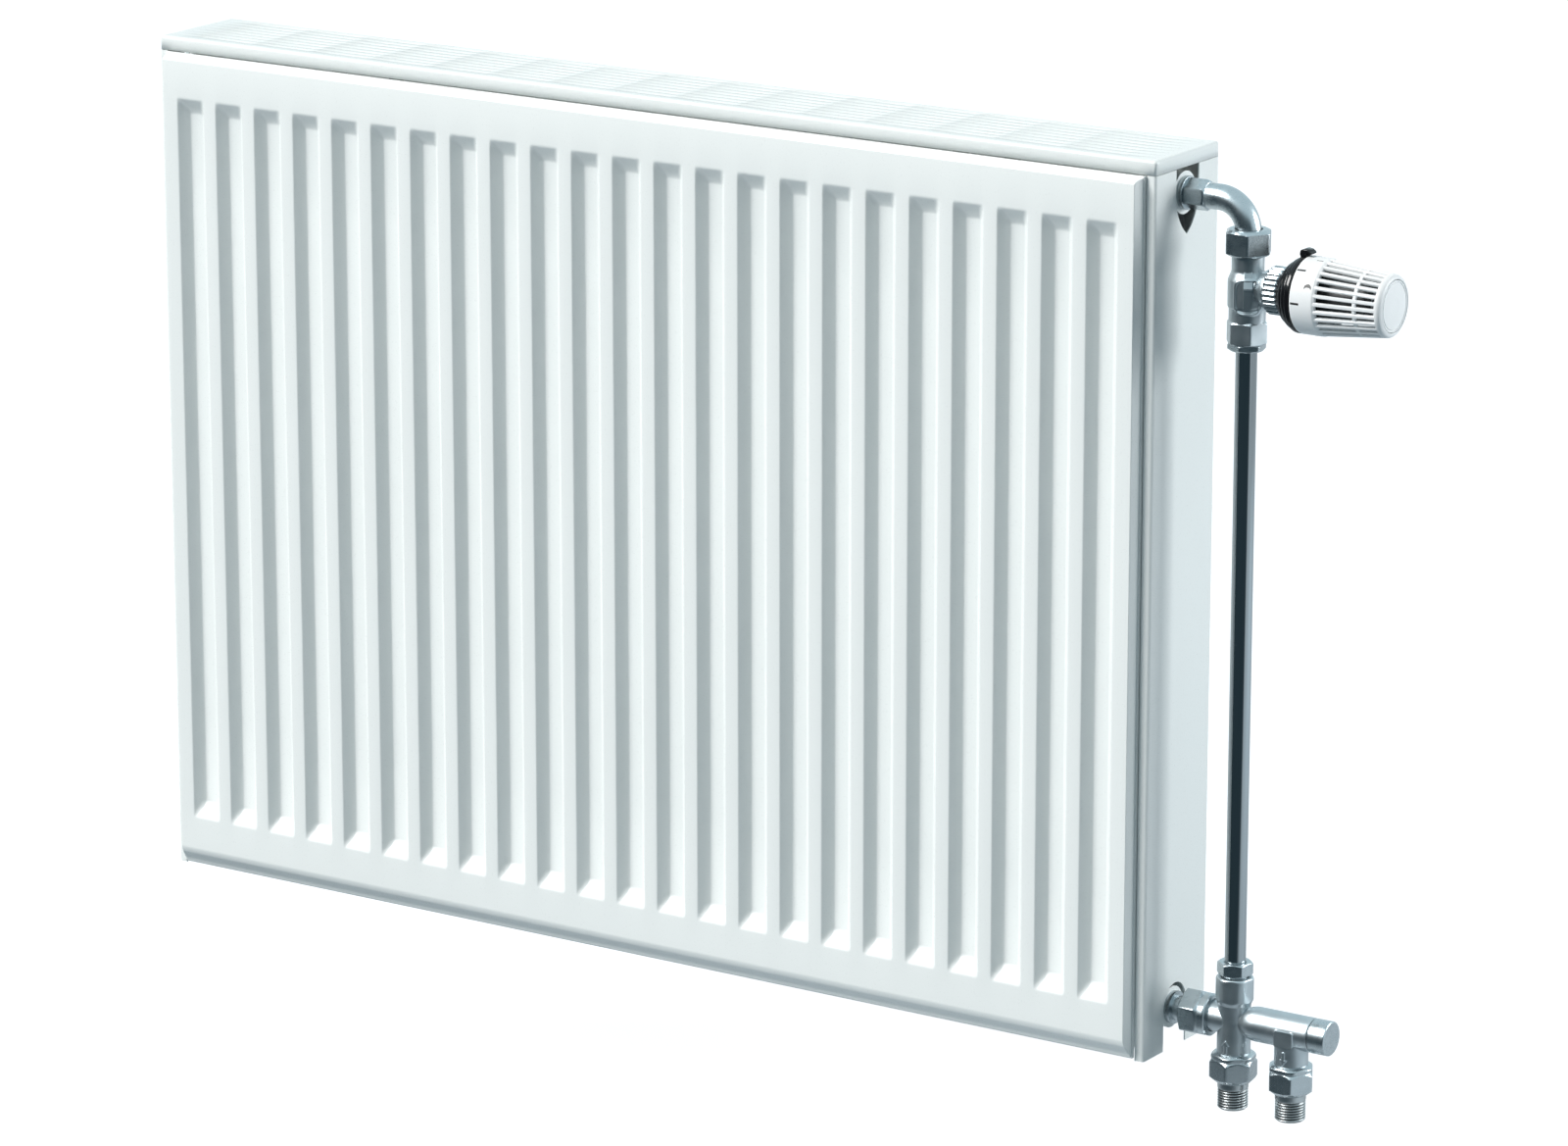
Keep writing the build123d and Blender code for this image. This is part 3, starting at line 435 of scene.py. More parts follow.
def white_plastic(pen):
    """Moulded white plastic: glossy, with the faintest flow marks."""
    flow = pen.noise(90.0, 2.0)
    skin = pen.noise(1500.0, 1.0)
    return {
        "Base Color": flow.mixed((0.80, 0.82, 0.825, 1), (0.84, 0.856, 0.86, 1)),
        "Roughness": 0.3 + 0.1 * skin,
        "Specular IOR Level": 0.35,
    }


nickel = finish("turned_nickel", turned_nickel)
brass = finish("turned_brass", turned_brass)
rubber = finish("black_rubber", black_rubber)
white_cap = finish("white_plastic", white_plastic)
coat(nickel, "blanking_plug", "vent_plug")
coat(rubber, "blanking_plug_seal", "vent_plug_seal")
coat(brass, "bleed_screw")
coat(white_cap, "vent_spout")


# Bent tail. A nickel-plated brass tube bent through a right angle, with a hexagon root screwed into the
# upper right tapping and a collar that the union nut draws down on to the valve.

tail_radius = 0.0084
tail_bend = 0.021
root_shoulder = 0.0110
root_flats = 0.018
root_places = (0.0, 0.0035, 0.0185)
tube_overlap = 0.002
tube_inset = 0.001
directions = {
    "x": np.eye(3),
    "z": np.roll(np.eye(3), 1, axis=0),
}


def softened(points, radius, steps=4):
    """An outline with each inner corner replaced by a curve that starts and ends a radius away from it."""
    points = np.asarray(points, float)
    before, corner, after = points[:-2], points[1:-1], points[2:]
    into = before - corner
    away = after - corner
    into *= np.minimum(radius / np.maximum(np.linalg.norm(into, axis=1), 1e-9), 0.5)[:, None]
    away *= np.minimum(radius / np.maximum(np.linalg.norm(away, axis=1), 1e-9), 0.5)[:, None]
    t = np.linspace(0, 1, steps + 1)[:, None, None]
    curve = corner + (1 - t) ** 2 * into + t**2 * away
    return np.concatenate([points[:1], curve.transpose(1, 0, 2).reshape(-1, points.shape[1]), points[-1:]])


def angles_round(sides):
    """Evenly spaced angles, one for each column of a turned surface."""
    return np.linspace(0, 2 * np.pi, sides, endpoint=False)


def around(places, radii, origin, axis, sides):
    """Points round an axis: along it by each place, and out from it by a radius for each place and angle."""
    along, across, beyond = directions[axis]
    angle = angles_round(sides)[:, None]
    outward = np.cos(angle) * across + np.sin(angle) * beyond
    radii = np.broadcast_to(np.reshape(radii, (len(places), -1)), (len(places), sides))
    return np.asarray(origin) + np.reshape(places, (-1, 1, 1)) * along + radii[..., None] * outward


def turned(outline, origin, axis, rounding=0.0004, sides=96):
    """A turned shape: an outline of places and radii, its corners rounded, carried round the axis."""
    line = softened(outline, rounding)
    return around(line[:, 0], line[:, 1], origin, axis, sides), False, True


def bored(surface):
    """The same surface with its last ring joined to its first, for a piece with a hole through it."""
    return surface[0], True, True


def corner_radius(flats):
    """Distance from a hexagon's axis to its corners."""
    return flats / 2 / np.cos(np.pi / 6)


def hexagon_radius(angle, flats):
    """Distance from the axis to a hexagon's side at each angle."""
    sector = np.pi / 3
    return flats / 2 / np.cos((angle + sector / 2) % sector - sector / 2)


def hexagonal(outline, flats, origin, axis, turn=0.0, rounding=0.0005, sides=144):
    """A nut: the lesser of a hexagon's radius and a turned outline's, with the edge between them eased."""
    line = softened(outline, rounding)
    section = hexagon_radius(angles_round(sides) + turn, flats)
    radii = soft_least(section[None, :], line[:, 1:], 0.0006)
    return around(line[:, 0], np.maximum(radii, 0), origin, axis, sides), False, True


def tube_along(path, radius, sides=64):
    """A round tube along a path in an upright plane, with its ends drawn together."""
    run = np.gradient(path, axis=0)
    run /= np.linalg.norm(run, axis=1, keepdims=True)
    sideways = np.array([0.0, 1.0, 0.0])
    outward = np.cross(run, sideways)
    angle = angles_round(sides)[None, :, None]
    rings = path[:, None] + radius * (np.cos(angle) * sideways + np.sin(angle) * outward[:, None])
    return capped(rings), False, True


def capped(rings):
    """Rings of points with the middle of the first and the last ring added, which closes both ends."""
    first = np.broadcast_to(rings[:1].mean(axis=1, keepdims=True), rings[:1].shape)
    last = np.broadcast_to(rings[-1:].mean(axis=1, keepdims=True), rings[-1:].shape)
    return np.concatenate([first, rings, last])


tapping_low, tapping_high = corners_of("vent_plug")
riser_low, riser_high = corners_of("riser_pipe")
riser_axis = (riser_low + riser_high) / 2
tail_low = corners_of("elbow_tail")[0]
upper_z = (tapping_low[2] + tapping_high[2]) / 2
mouth_x = corners_of("corner_tees")[1][0]
mouth = np.array([mouth_x, riser_axis[1], upper_z])
quarter = np.linspace(0, np.pi / 2, 25)
bend_x = riser_axis[0] - tail_bend + tail_bend * np.sin(quarter)
bend_z = upper_z - tail_bend + tail_bend * np.cos(quarter)
tail_path = np.stack([
    np.concatenate([[mouth_x + root_places[2] - tube_overlap], bend_x, [riser_axis[0]]]),
    np.full(len(quarter) + 2, riser_axis[1]),
    np.concatenate([[upper_z], bend_z, [tail_low[2] + tube_inset]]),
], axis=-1)
root_corner = corner_radius(root_flats)
root_outline = [
    (root_places[1], 0),
    (root_places[1], root_corner - 0.0007),
    (root_places[1] + 0.0008, root_corner),
    (root_places[2] - 0.0016, root_corner),
    (root_places[2], tail_radius + 0.0003),
    (root_places[2] + 0.0006, 0),
]
shoulder_outline = [
    (-0.011, 0), (-0.011, 0.0104), (0, 0.0104), (0, root_shoulder),
    (root_places[1], root_shoulder), (root_places[1], 0),
]
bent_tail = shape_piece("bent_tail", [
    turned(shoulder_outline, mouth, "x"),
    hexagonal(root_outline, root_flats, mouth, "x"),
    tube_along(tail_path, tail_radius),
])
fit(bent_tail, nickel, "nickel", "radiator", "elbow_tail")


# Union nuts. Four nickel-plated brass hexagon nuts, 28 mm across the flats, each turned down at its ends
# and drawing a tail's collar against a flat rubber gasket. The outlines are drawn for 19 mm and stretched
# to fit.

union_flats = 0.028
union_corner = corner_radius(union_flats)
union_bore = 0.0091
drawn_length = 0.019
neck_hole = 0.0111
plain_nut = [
    (0, union_bore), (0, 0.0124), (0.0022, union_corner), (drawn_length - 0.0022, union_corner),
    (drawn_length, 0.0128), (drawn_length, neck_hole),
]
collared_nut = [
    (0, union_bore), (0, 0.0126), (0.0018, union_corner), (0.0118, union_corner), (0.0136, 0.0138),
    (0.0140, 0.0145), (0.0178, 0.0145), (drawn_length, 0.0134), (drawn_length, neck_hole),
]
domed_nut = [
    (0, union_bore), (0, 0.0112), (0.0030, 0.0152), (0.0034, union_corner), (0.0128, union_corner),
    (0.0146, 0.0143), (0.0150, 0.0139), (0.0156, 0.0150), (0.0174, 0.0148), (0.0186, 0.0130),
    (drawn_length, 0.0118), (drawn_length, neck_hole),
]


def union_nut(name, outline, axis, turn, flip=False):
    """A nut from its tail's side along an axis, or flipped, turned by some degrees as screwed home."""
    low, high = corners_of(name)
    along = "xyz".index(axis)
    start = (low + high) / 2
    start[along] = low[along]
    line = np.array(outline)
    if flip:
        line[:, 0] = drawn_length - line[:, 0]
    line[:, 0] *= (high[along] - low[along]) / drawn_length
    nut = bored(hexagonal(line, union_flats, start, axis, np.radians(turn)))
    fit(shape_piece(name + "_form", [nut]), nickel, "nickel", "radiator", name)


union_nut("upper_union_nut", plain_nut, "z", 34, flip=True)
union_nut("lower_union_nut", collared_nut, "x", -8)
union_nut("flow_union_nut", domed_nut, "z", -10)
union_nut("return_union_nut", domed_nut, "z", 32)
coat(rubber, "upper_gasket", "lower_gasket", "tail_gaskets")


# Valve body. Cast brass, nickel-plated, with a beaded hollow and a plain upright bar on each cheek, a
# hexagon foot that takes the riser's gland, and a rounded branch for the head. The insert inside is turned
# brass, and its disc is rubber.

def cast_nickel(pen):
    """Nickel plate over sand-blasted casting: soft, with a fine grain and lighter, duller patches at random.
    """
    cloud = pen.noise(110.0, 3.0)
    grain = pen.noise(1300.0, 3.0)
    return {
        "Base Color": cloud.mixed((0.41, 0.46, 0.485, 1), (0.53, 0.575, 0.595, 1)),
        "Metallic": 1.0,
        "Roughness": 0.28 + 0.13 * cloud + 0.08 * grain,
        "Normal": pen.bump(grain, 0.00003),
    }


def rounded_patch(across, along, half_width, half_height, corner, edge):
    """1 inside a rounded rectangle and 0 outside it, easing over the edge."""
    reach = soft_most(np.abs(across) - half_width, np.abs(along) - half_height, corner)
    ease = np.clip(0.5 - reach / edge, 0, 1)
    return ease * ease * (3 - 2 * ease)


def evenly(outline, rounding, count, steps=4):
    """Evenly spaced places along a softened outline, and its radius at each of them."""
    line = softened(outline, rounding, steps)
    places = np.linspace(line[0, 0], line[-1, 0], count)
    return places, np.interp(places, line[:, 0], line[:, 1])[:, None]


def with_ends(places, radii, inner=0.0):
    """The places and radii of a turned surface, with a ring of the inner radius added at each end."""
    ring = np.full((1, radii.shape[1]), inner)
    return np.concatenate([places[:1], places, places[-1:]]), np.concatenate([ring, radii, ring])


barrel_radius = 0.0128
hollow_place = -0.0048
hollow_half = (0.0084, 0.0104)
hollow_depth = 0.0014
hollow_corner = 0.006
hollow_edge = 0.0012
bead_half = (0.0098, 0.0118)
bead_height = 0.0005
bar_place = 0.0015
bar_half = (0.0030, 0.0145)
bar_corner = 0.0012
bar_edge = 0.0006
bar_heights = (-0.0130, 0.0, 0.0010, 0.0140)
bar_reach = (0.0124, 0.0124, 0.0139, 0.0094)


def valve_barrel(origin):
    """The barrel about the riser axis: a turned outline with a hollow and an upright bar on each cheek.

    Each cheek lies 60 degrees from the branch. The hollow and the bead round it change the radius inside
    rounded patches; the bar takes it out to a face that leans back in its upper half.
    """
    places, base = evenly([
        (-0.0230, 0.0119), (-0.0135, 0.0119), (-0.0128, barrel_radius), (0.0046, barrel_radius),
        (0.0105, 0.0105), (0.0165, 0.0105), (0.0290, 0.0109),
    ], 0.0008, 160)
    angle = angles_round(240)[None, :]
    cheek = np.abs((angle + np.pi) % (2 * np.pi) - np.pi) - np.pi / 3
    height = places[:, None]
    patch = (cheek * barrel_radius, height - hollow_place)
    bead = rounded_patch(*patch, *bead_half, hollow_corner, hollow_edge)
    hollow = rounded_patch(*patch, *hollow_half, hollow_corner, hollow_edge)
    strip = (np.sin(cheek) * barrel_radius, height - bar_place)
    bar = rounded_patch(*strip, *bar_half, bar_corner, bar_edge)
    radii = base + bead_height * bead - hollow_depth * hollow
    face = np.interp(height, bar_heights, bar_reach)
    radii += np.maximum(face / np.maximum(np.cos(cheek), 0.5) - radii, 0) * bar
    return around(*with_ends(places, radii), origin, "z", 240), False, True


head_low, head_high = corners_of("sensor_capsule")
head_z = (head_low[2] + head_high[2]) / 2
crossing = np.array([riser_axis[0], riser_axis[1], head_z])
body_flats = 0.024
body_corner = corner_radius(body_flats)
foot_outline = [
    (-0.037, 0.0088), (-0.037, 0.0118), (-0.0358, body_corner), (-0.0232, body_corner),
    (-0.0210, 0.0108), (-0.0210, 0.0088),
]
branch_outline = [
    (0, 0), (0, 0.0093), (0.0098, 0.0093), (0.0116, 0.0106), (0.0140, 0.0122), (0.0165, 0.0130),
    (0.024, 0.0130), (0.024, 0.009), (0.012, 0),
]
cast = finish("cast_nickel", cast_nickel)
valve_shell = shape_piece("valve_shell", [
    valve_barrel(crossing),
    bored(hexagonal(foot_outline, body_flats, crossing, "z", np.radians(21))),
    turned(branch_outline, crossing, "x"),
])
fit(valve_shell, cast, "nickel", "radiator", "valve_body")
coat(brass, "valve_insert", "spindle_gland", "valve_spindle")
coat(rubber, "insert_seal", "valve_disc")


# Head nut and base. A fluted nickel ring nut draws the head's black moulded foot on to the branch; the foot
# steps out in rounded rings to the pointer ring, whose tab hooks over the dial's edge.

def black_plastic(pen):
    """Moulded black plastic with a soft gloss."""
    skin = pen.noise(1100.0, 2.0)
    cloud = pen.noise(140.0)
    return {
        "Base Color": cloud.mixed((0.004, 0.004, 0.005, 1), (0.009, 0.009, 0.010, 1)),
        "Roughness": 0.1 + 0.06 * skin,
        "Specular IOR Level": 0.35,
    }


flute_count = 26
flute_depth = 0.0011
flute_root = 0.0135
flute_ease = 0.001
nut_sides = 12 * flute_count
nut_low, nut_high = corners_of("head_nut")
nut_radius = (nut_high[2] - nut_low[2]) / 2
nut_length = nut_high[0] - nut_low[0]
nut_outline = softened([
    (0, 0.0131), (0, nut_radius - 0.0014), (0.0012, nut_radius), (nut_length - 0.001, nut_radius),
    (nut_length, nut_radius - 0.001), (nut_length, 0.0120),
], 0.0006)
flute = flute_depth * (0.5 - 0.5 * np.cos(flute_count * angles_round(nut_sides))) ** 1.6
deep = np.clip((nut_outline[:, 1:] - flute_root) / flute_ease, 0, 1)
nut_radii = nut_outline[:, 1:] - flute[None, :] * deep
nut_start = np.array([nut_low[0], crossing[1], head_z])
flutes = around(nut_outline[:, 0], nut_radii, nut_start, "x", nut_sides)
head_nut_piece = shape_piece("fluted_nut", [(flutes, True, True)])
fit(head_nut_piece, nickel, "nickel", "radiator", "head_nut")

black = finish("black_plastic", black_plastic)
sensor_room = 0.0026
sensor_play = 0.0003
well_floor = head_low[0] - crossing[0] - sensor_room
well_radius = (head_high[2] - head_low[2]) / 2 + sensor_play
base_outline = [
    (0.0244, 0.0062), (0.0244, 0.0126), (0.0266, 0.0126), (0.0266, 0.0118), (0.0284, 0.0118),
    (0.0284, 0.0158), (0.0312, 0.0178), (0.0312, 0.0162), (0.0319, 0.0162), (0.0319, 0.0196),
    (0.0349, 0.0213), (0.0349, 0.0196), (0.0356, 0.0196), (0.0356, 0.0224), (0.0378, 0.0235),
    (0.0394, 0.0235), (0.0394, 0.0218), (0.058, 0.0218), (0.058, well_radius),
    (well_floor, well_radius), (well_floor, 0.0062),
]
head_foot = shape_piece("head_foot", [bored(turned(base_outline, crossing, "x", 0.0012, 128))])
fit(head_foot, black, "black_plastic", "radiator", "head_base")

ring_outline = [
    (0.0394, 0.0220), (0.0394, 0.0244), (0.0403, 0.0250), (0.0424, 0.0250), (0.0430, 0.0246),
    (0.0430, 0.0220),
]
tab_outline = softened([
    (0.0400, 0.0240), (0.0390, 0.0262), (0.0396, 0.0290), (0.0420, 0.0298), (0.0450, 0.0294),
    (0.0474, 0.0276), (0.0470, 0.0262), (0.0446, 0.0272), (0.0432, 0.0262), (0.0430, 0.0240),
    (0.0400, 0.0240),
], 0.0008)
tab_half_width = 0.004
tab_widths = tab_half_width * np.array([-1.0, -0.97, -0.88, 0.88, 0.97, 1.0])
tab_shrink = np.array([0.75, 0.9, 1.0, 1.0, 0.9, 0.75])
tab_middle = tab_outline.mean(axis=0)
tab_rings = tab_middle + (tab_outline[None, :-1] - tab_middle) * tab_shrink[:, None, None]
tab_points = np.stack([
    crossing[0] + tab_rings[..., 0],
    np.broadcast_to(crossing[1] + tab_widths[:, None], tab_rings.shape[:2]),
    crossing[2] + tab_rings[..., 1],
], axis=-1)
pointer = shape_piece("pointer", [
    bored(turned(ring_outline, crossing, "x", 0.0007, 128)),
    (capped(tab_points), False, True),
])
fit(pointer, black, "black_plastic", "radiator", "pointer_ring")


# Dial. One white moulding: a collar with printed marks, a tapering cage of 28 ribs and a ring that lets air
# reach the sensor, and a rounded rim round the flat end disc. The sensor and its pin are dark grey plastic.

rib_count = 28
rib_width = 0.0024
rib_depth = 0.0022
collar_start = 0.0433
collar_end = 0.0603
cage_end = 0.1028
dial_end = 0.1058
collar_radius = 0.025
cage_radius = 0.0205
disc_radius = 0.0169
ring_place = 0.0863


def ink(pen):
    """Dark grey pad-printing ink."""
    fleck = pen.noise(2600.0, 1.0)
    return {
        "Base Color": fleck.mixed((0.008, 0.008, 0.009, 1), (0.02, 0.021, 0.022, 1)),
        "Roughness": 0.4 + 0.1 * fleck,
    }


def grey_plastic(pen):
    """Dull dark grey moulding."""
    cloud = pen.noise(240.0, 2.0)
    return {
        "Base Color": cloud.mixed((0.030, 0.032, 0.034, 1), (0.050, 0.052, 0.055, 1)),
        "Roughness": 0.42 + 0.12 * cloud,
        "Normal": pen.bump(cloud, 0.00002),
    }


def bars_round(angles, places, radii, width, depth):
    """Closed bars along X, one at each angle round the head, with a rounded section at each place."""
    corner = np.array([-0.5, -0.5, -0.3, 0.3, 0.5, 0.5])
    level = np.array([-1.0, -0.25, 0.0, 0.0, -0.25, -1.0])
    section = np.stack([corner * width, level * depth], axis=-1)
    bars = []
    for angle in angles:
        side = np.array([0, -np.cos(angle), np.sin(angle)])
        outward = np.array([0, np.sin(angle), np.cos(angle)])
        middle = crossing + np.outer(places, [1.0, 0, 0]) + np.outer(radii, outward)
        rings = middle[:, None] + section[None, :, :1] * side + section[None, :, 1:] * outward
        bars.append((capped(rings), False, True))
    return bars


collar_outline = [
    (collar_start, collar_radius - 0.003), (collar_start, collar_radius - 0.0008),
    (collar_start + 0.0008, collar_radius), (collar_end - 0.001, collar_radius),
    (collar_end, collar_radius - 0.0006), (collar_end + 0.001, collar_radius - 0.0012),
    (collar_end + 0.001, collar_radius - 0.003),
]
rim_outline = [
    (cage_end - 0.0015, cage_radius - 0.0026), (cage_end - 0.0015, cage_radius + 0.0001),
    (cage_end + 0.0008, cage_radius - 0.0001), (cage_end + 0.0022, cage_radius - 0.0010),
    (dial_end, cage_radius - 0.0028), (dial_end, disc_radius + 0.0004),
    (dial_end - 0.0006, disc_radius + 0.0002), (dial_end - 0.0025, disc_radius),
    (dial_end - 0.0025, cage_radius - 0.0026),
]
middle_radius = np.interp(ring_place + 0.0013, (collar_end, cage_end), (collar_radius, cage_radius))
ring_line = [
    (ring_place, middle_radius - 0.0022), (ring_place, middle_radius - 0.0006),
    (ring_place + 0.0026, middle_radius - 0.0008), (ring_place + 0.0026, middle_radius - 0.0022),
]
dial_rings = [
    bored(turned(outline, crossing, "x", 0.0009, 168))
    for outline in (collar_outline, rim_outline, ring_line)
]
rib_places = np.array([collar_end - 0.0005, cage_end + 0.0003])
rib_radii = np.array([collar_radius - 0.0004, cage_radius - 0.0001])
ribs = bars_round(angles_round(rib_count), rib_places, rib_radii, rib_width, rib_depth)
dial_piece = shape_piece("dial_cage", dial_rings + ribs)
fit(dial_piece, white_cap, "white_plastic", "dial", "dial")

disc_outline = [
    (dial_end - 0.0024, 0), (dial_end - 0.0024, disc_radius - 0.0001),
    (dial_end - 0.0002, disc_radius - 0.0003), (dial_end - 0.0002, disc_radius - 0.0012),
    (dial_end - 0.0008, disc_radius - 0.0013), (dial_end - 0.0008, disc_radius - 0.0019),
    (dial_end - 0.0002, disc_radius - 0.0020), (dial_end, 0.006), (dial_end, 0),
]
disc = turned(disc_outline, crossing, "x", 0.0002, 128)
disc_piece = shape_piece("dial_end_disc", [disc], crease=60.0)
fit(disc_piece, white_cap, "white_plastic", "dial", "end_disc")
grey = finish("grey_plastic", grey_plastic)
coat(grey, "sensor_capsule", "push_pin")

mark_step = np.radians(52)
first_mark = np.radians(14)
mark_height = 0.00006
dash_width = 0.0016
dash_depth = 0.0004
figure_size = 0.0066
figure_place = 0.0122
figure_half_depth = 0.0001
figure_sink = 0.00004
moon_place = 0.0124
moon_radius = 0.0024
moon_thickness = 0.0023
print_ink = finish("print_ink", ink)
dash_angles = first_mark + mark_step * (np.arange(-4, 2) + 0.5)
dash_places = collar_start + np.array([0.0012, 0.0072])
dash_radii = np.full(2, collar_radius + mark_height)
dashes = bars_round(-dash_angles, dash_places, dash_radii, dash_width, dash_depth)


def crescent(angle, place, radius, thickness):
    """A moon on the collar: a half circle thickened towards its middle, closed between two heights."""
    sweep = np.linspace(0, np.pi, 19)[:, None]
    width = thickness * np.sin(sweep) * np.array([-0.5, -0.5, 0.5, 0.5])
    lift = collar_radius + mark_height * np.array([-3, 1, 1, -3])
    along = place + (radius + width) * np.cos(sweep)
    turn = angle - (radius + width) * np.sin(sweep) / collar_radius
    out = np.broadcast_to(lift, along.shape)
    return np.stack([
        crossing[0] + along,
        crossing[1] - out * np.sin(turn),
        crossing[2] + out * np.cos(turn),
    ], axis=-1), False, True


moon_angle = first_mark + mark_step + np.radians(3)
moon = crescent(moon_angle, collar_start + moon_place, moon_radius, moon_thickness)
marks = shape_piece("dial_marks", dashes + [moon])
fit(marks, print_ink, "black_plastic", "dial")

for number in range(1, 6):
    text = bpy.data.curves.new("figure", "FONT")
    text.body = str(number)
    text.size = figure_size
    text.align_x = "CENTER"
    text.align_y = "CENTER"
    text.extrude = figure_half_depth
    flat = bpy.data.objects.new("figure", text)
    mesh = bpy.data.meshes.new_from_object(flat)
    points = np.empty(len(mesh.vertices) * 3)
    mesh.vertices.foreach_get("co", points)
    x, y, z = points.reshape(-1, 3).T
    turn = first_mark - mark_step * (number - 1) + x / collar_radius
    out = collar_radius + z - figure_sink
    wrapped = np.stack([
        crossing[0] + collar_start + figure_place - y,
        crossing[1] - out * np.sin(turn),
        crossing[2] + out * np.cos(turn),
    ], axis=-1)
    mesh.vertices.foreach_set("co", wrapped.ravel())
    mesh.update()
    figure = bpy.data.objects.new(f"dial_figure_{number}", mesh)
    bpy.context.scene.collection.objects.link(figure)
    bpy.data.objects.remove(flat)
    fit(figure, print_ink, "black_plastic", "dial")


# Riser. A 14 mm steel tube, bright-chromed, held at each end by a hexagon compression fitting that squeezes
# a brass olive on to it: a gland in the valve's foot and a nut in the connection block's socket.

def bright_chrome(pen):
    """Polished chrome with the finest drawn lines along the tube."""
    lines = pen.noise(1700.0, 1.0, (1.0, 1.0, 0.02))
    return {
        "Base Color": lines.mixed((0.33, 0.365, 0.385, 1), (0.41, 0.44, 0.455, 1)),
        "Metallic": 1.0,
        "Roughness": 0.07 + 0.05 * lines,
    }


chrome = finish("bright_chrome", bright_chrome)
riser_radius = (riser_high[0] - riser_low[0]) / 2
riser_gauge = 0.001
riser_bore = riser_radius - riser_gauge
riser_line = np.array([
    (riser_low[2], riser_bore), (riser_low[2], riser_radius),
    (riser_high[2], riser_radius), (riser_high[2], riser_bore),
])
on_riser = np.array([riser_axis[0], riser_axis[1], 0])
riser_wall = around(riser_line[:, 0], riser_line[:, 1], on_riser, "z", 128)
fit(shape_piece("riser_tube", [(riser_wall, True, True)]), chrome, "chrome_pipe", "radiator", "riser_pipe")

gland_low, gland_high = corners_of("riser_gland")
gland_flats = 0.022
gland_corner = corner_radius(gland_flats)
gland_seat = gland_low[2] + 0.0044
gland_outline = [
    (gland_low[2], riser_radius), (gland_low[2], 0.0104), (gland_low[2] + 0.0014, gland_corner),
    (gland_seat - 0.0004, gland_corner), (gland_seat, 0.0119), (gland_seat, 0.0089), (gland_high[2], 0.0089),
    (gland_high[2], riser_radius),
]
gland = bored(hexagonal(gland_outline, gland_flats, on_riser, "z", np.radians(-8)))
fit(shape_piece("riser_gland_form", [gland]), nickel, "nickel", "radiator", "riser_gland")

clamp_low, clamp_high = corners_of("riser_nut")
clamp_flats = 0.021
clamp_corner = corner_radius(clamp_flats)
clamp_hex = clamp_high[2] - 0.0085
clamp_outline = [
    (clamp_low[2], riser_radius), (clamp_low[2], 0.0089), (clamp_hex, 0.0089), (clamp_hex, 0.0107),
    (clamp_hex + 0.0008, clamp_corner), (clamp_high[2] - 0.0010, clamp_corner), (clamp_high[2], 0.0104),
    (clamp_high[2], 0.0078), (clamp_high[2] - 0.0008, riser_radius),
]
clamp = bored(hexagonal(clamp_outline, clamp_flats, on_riser, "z", np.radians(8.5)))
fit(shape_piece("riser_nut_form", [clamp]), nickel, "nickel", "radiator", "riser_nut")
coat(brass, "riser_upper_olive", "riser_lower_olive")


# Connection block. A nickel-plated casting: an upright column with the riser's socket, a neck to the
# radiator, and a tube that leads to the second tail and holds the shut-off. Small arrows in relief show the
# flow.

arrow_half = 0.0046
arrow_neck = 0.0006
arrow_shaft = 0.0010
arrow_head = 0.0026
arrow_edge = 0.0005
arrow_step = 0.0002
arrow_relief = 0.0007
arrow_place = -0.0162
neck_radius = 0.0108


def arrow_patch(across, along):
    """1 on an arrow (a shaft and a head that narrows to its tip) and 0 off it, easing over its edge."""
    shaft = np.where((along > -arrow_half) & (along < arrow_neck), arrow_shaft, 0)
    turns = (arrow_neck - arrow_step, arrow_neck, arrow_half, arrow_half + arrow_step)
    half = np.maximum(shaft, np.interp(along, turns, (0, arrow_head, 0, -arrow_head)))
    return np.clip((half - np.abs(across)) / arrow_edge + 0.5, 0, 1) * (half > 0)


def neck_down(outline, origin, pointing):
    """A downward neck: a turned outline with an arrow raised on its front."""
    places, base = evenly(outline, 0.0015, 110, 5)
    angle = angles_round(144)[None, :]
    front = (angle - 1.5 * np.pi + np.pi) % (2 * np.pi) - np.pi
    along = pointing * (places[:, None] - arrow_place)
    radii = base + arrow_relief * arrow_patch(front * neck_radius, along)
    return around(*with_ends(places, radii), origin, "z", 144), False, True


cap_low, cap_high = corners_of("end_cap")
lower_z = (cap_low[2] + cap_high[2]) / 2
block = np.array([riser_axis[0], riser_axis[1], lower_z])
second_tail = corners_of("return_tail")
second = np.array([(second_tail[0][0] + second_tail[1][0]) / 2, riser_axis[1], lower_z])
tube_radius = (cap_high[2] - cap_low[2]) / 2
cap_gap = 0.0003
tube_end = cap_low[0] - block[0] - cap_gap

socket_outline = [
    (0.0105, 0), (0.0105, 0.0108), (0.0128, 0.0117), (0.0142, 0.0125), (0.0288, 0.0125), (0.0300, 0.0116),
    (0.0300, 0.0092), (0.0200, 0.0092), (0.0200, 0),
]
column_outline = [
    (-0.0345, 0.0109), (-0.0234, 0.0109), (-0.0230, 0.0111), (-0.0120, 0.0111), (-0.0060, 0.0107),
    (0.0, 0.0104), (0.0060, 0.0107), (0.0120, 0.0111),
]
branch_neck_outline = [
    (-0.0345, 0.0109), (-0.0234, 0.0109), (-0.0230, 0.0112), (-0.0120, 0.0112), (-0.0070, 0.0114),
    (-0.0020, 0.0110),
]
left_outline = [
    (-0.028, 0.0060), (-0.028, 0.0109), (-0.016, 0.0109), (-0.0158, 0.0104), (-0.003, 0.0104),
    (-0.003, 0.0060),
]
socket_flats = 0.024
pad_relief = 0.0008
pad_drop = 0.003
pad_half = (0.0058, 0.0070)
pad_corner = 0.002
pad_edge = 0.0005


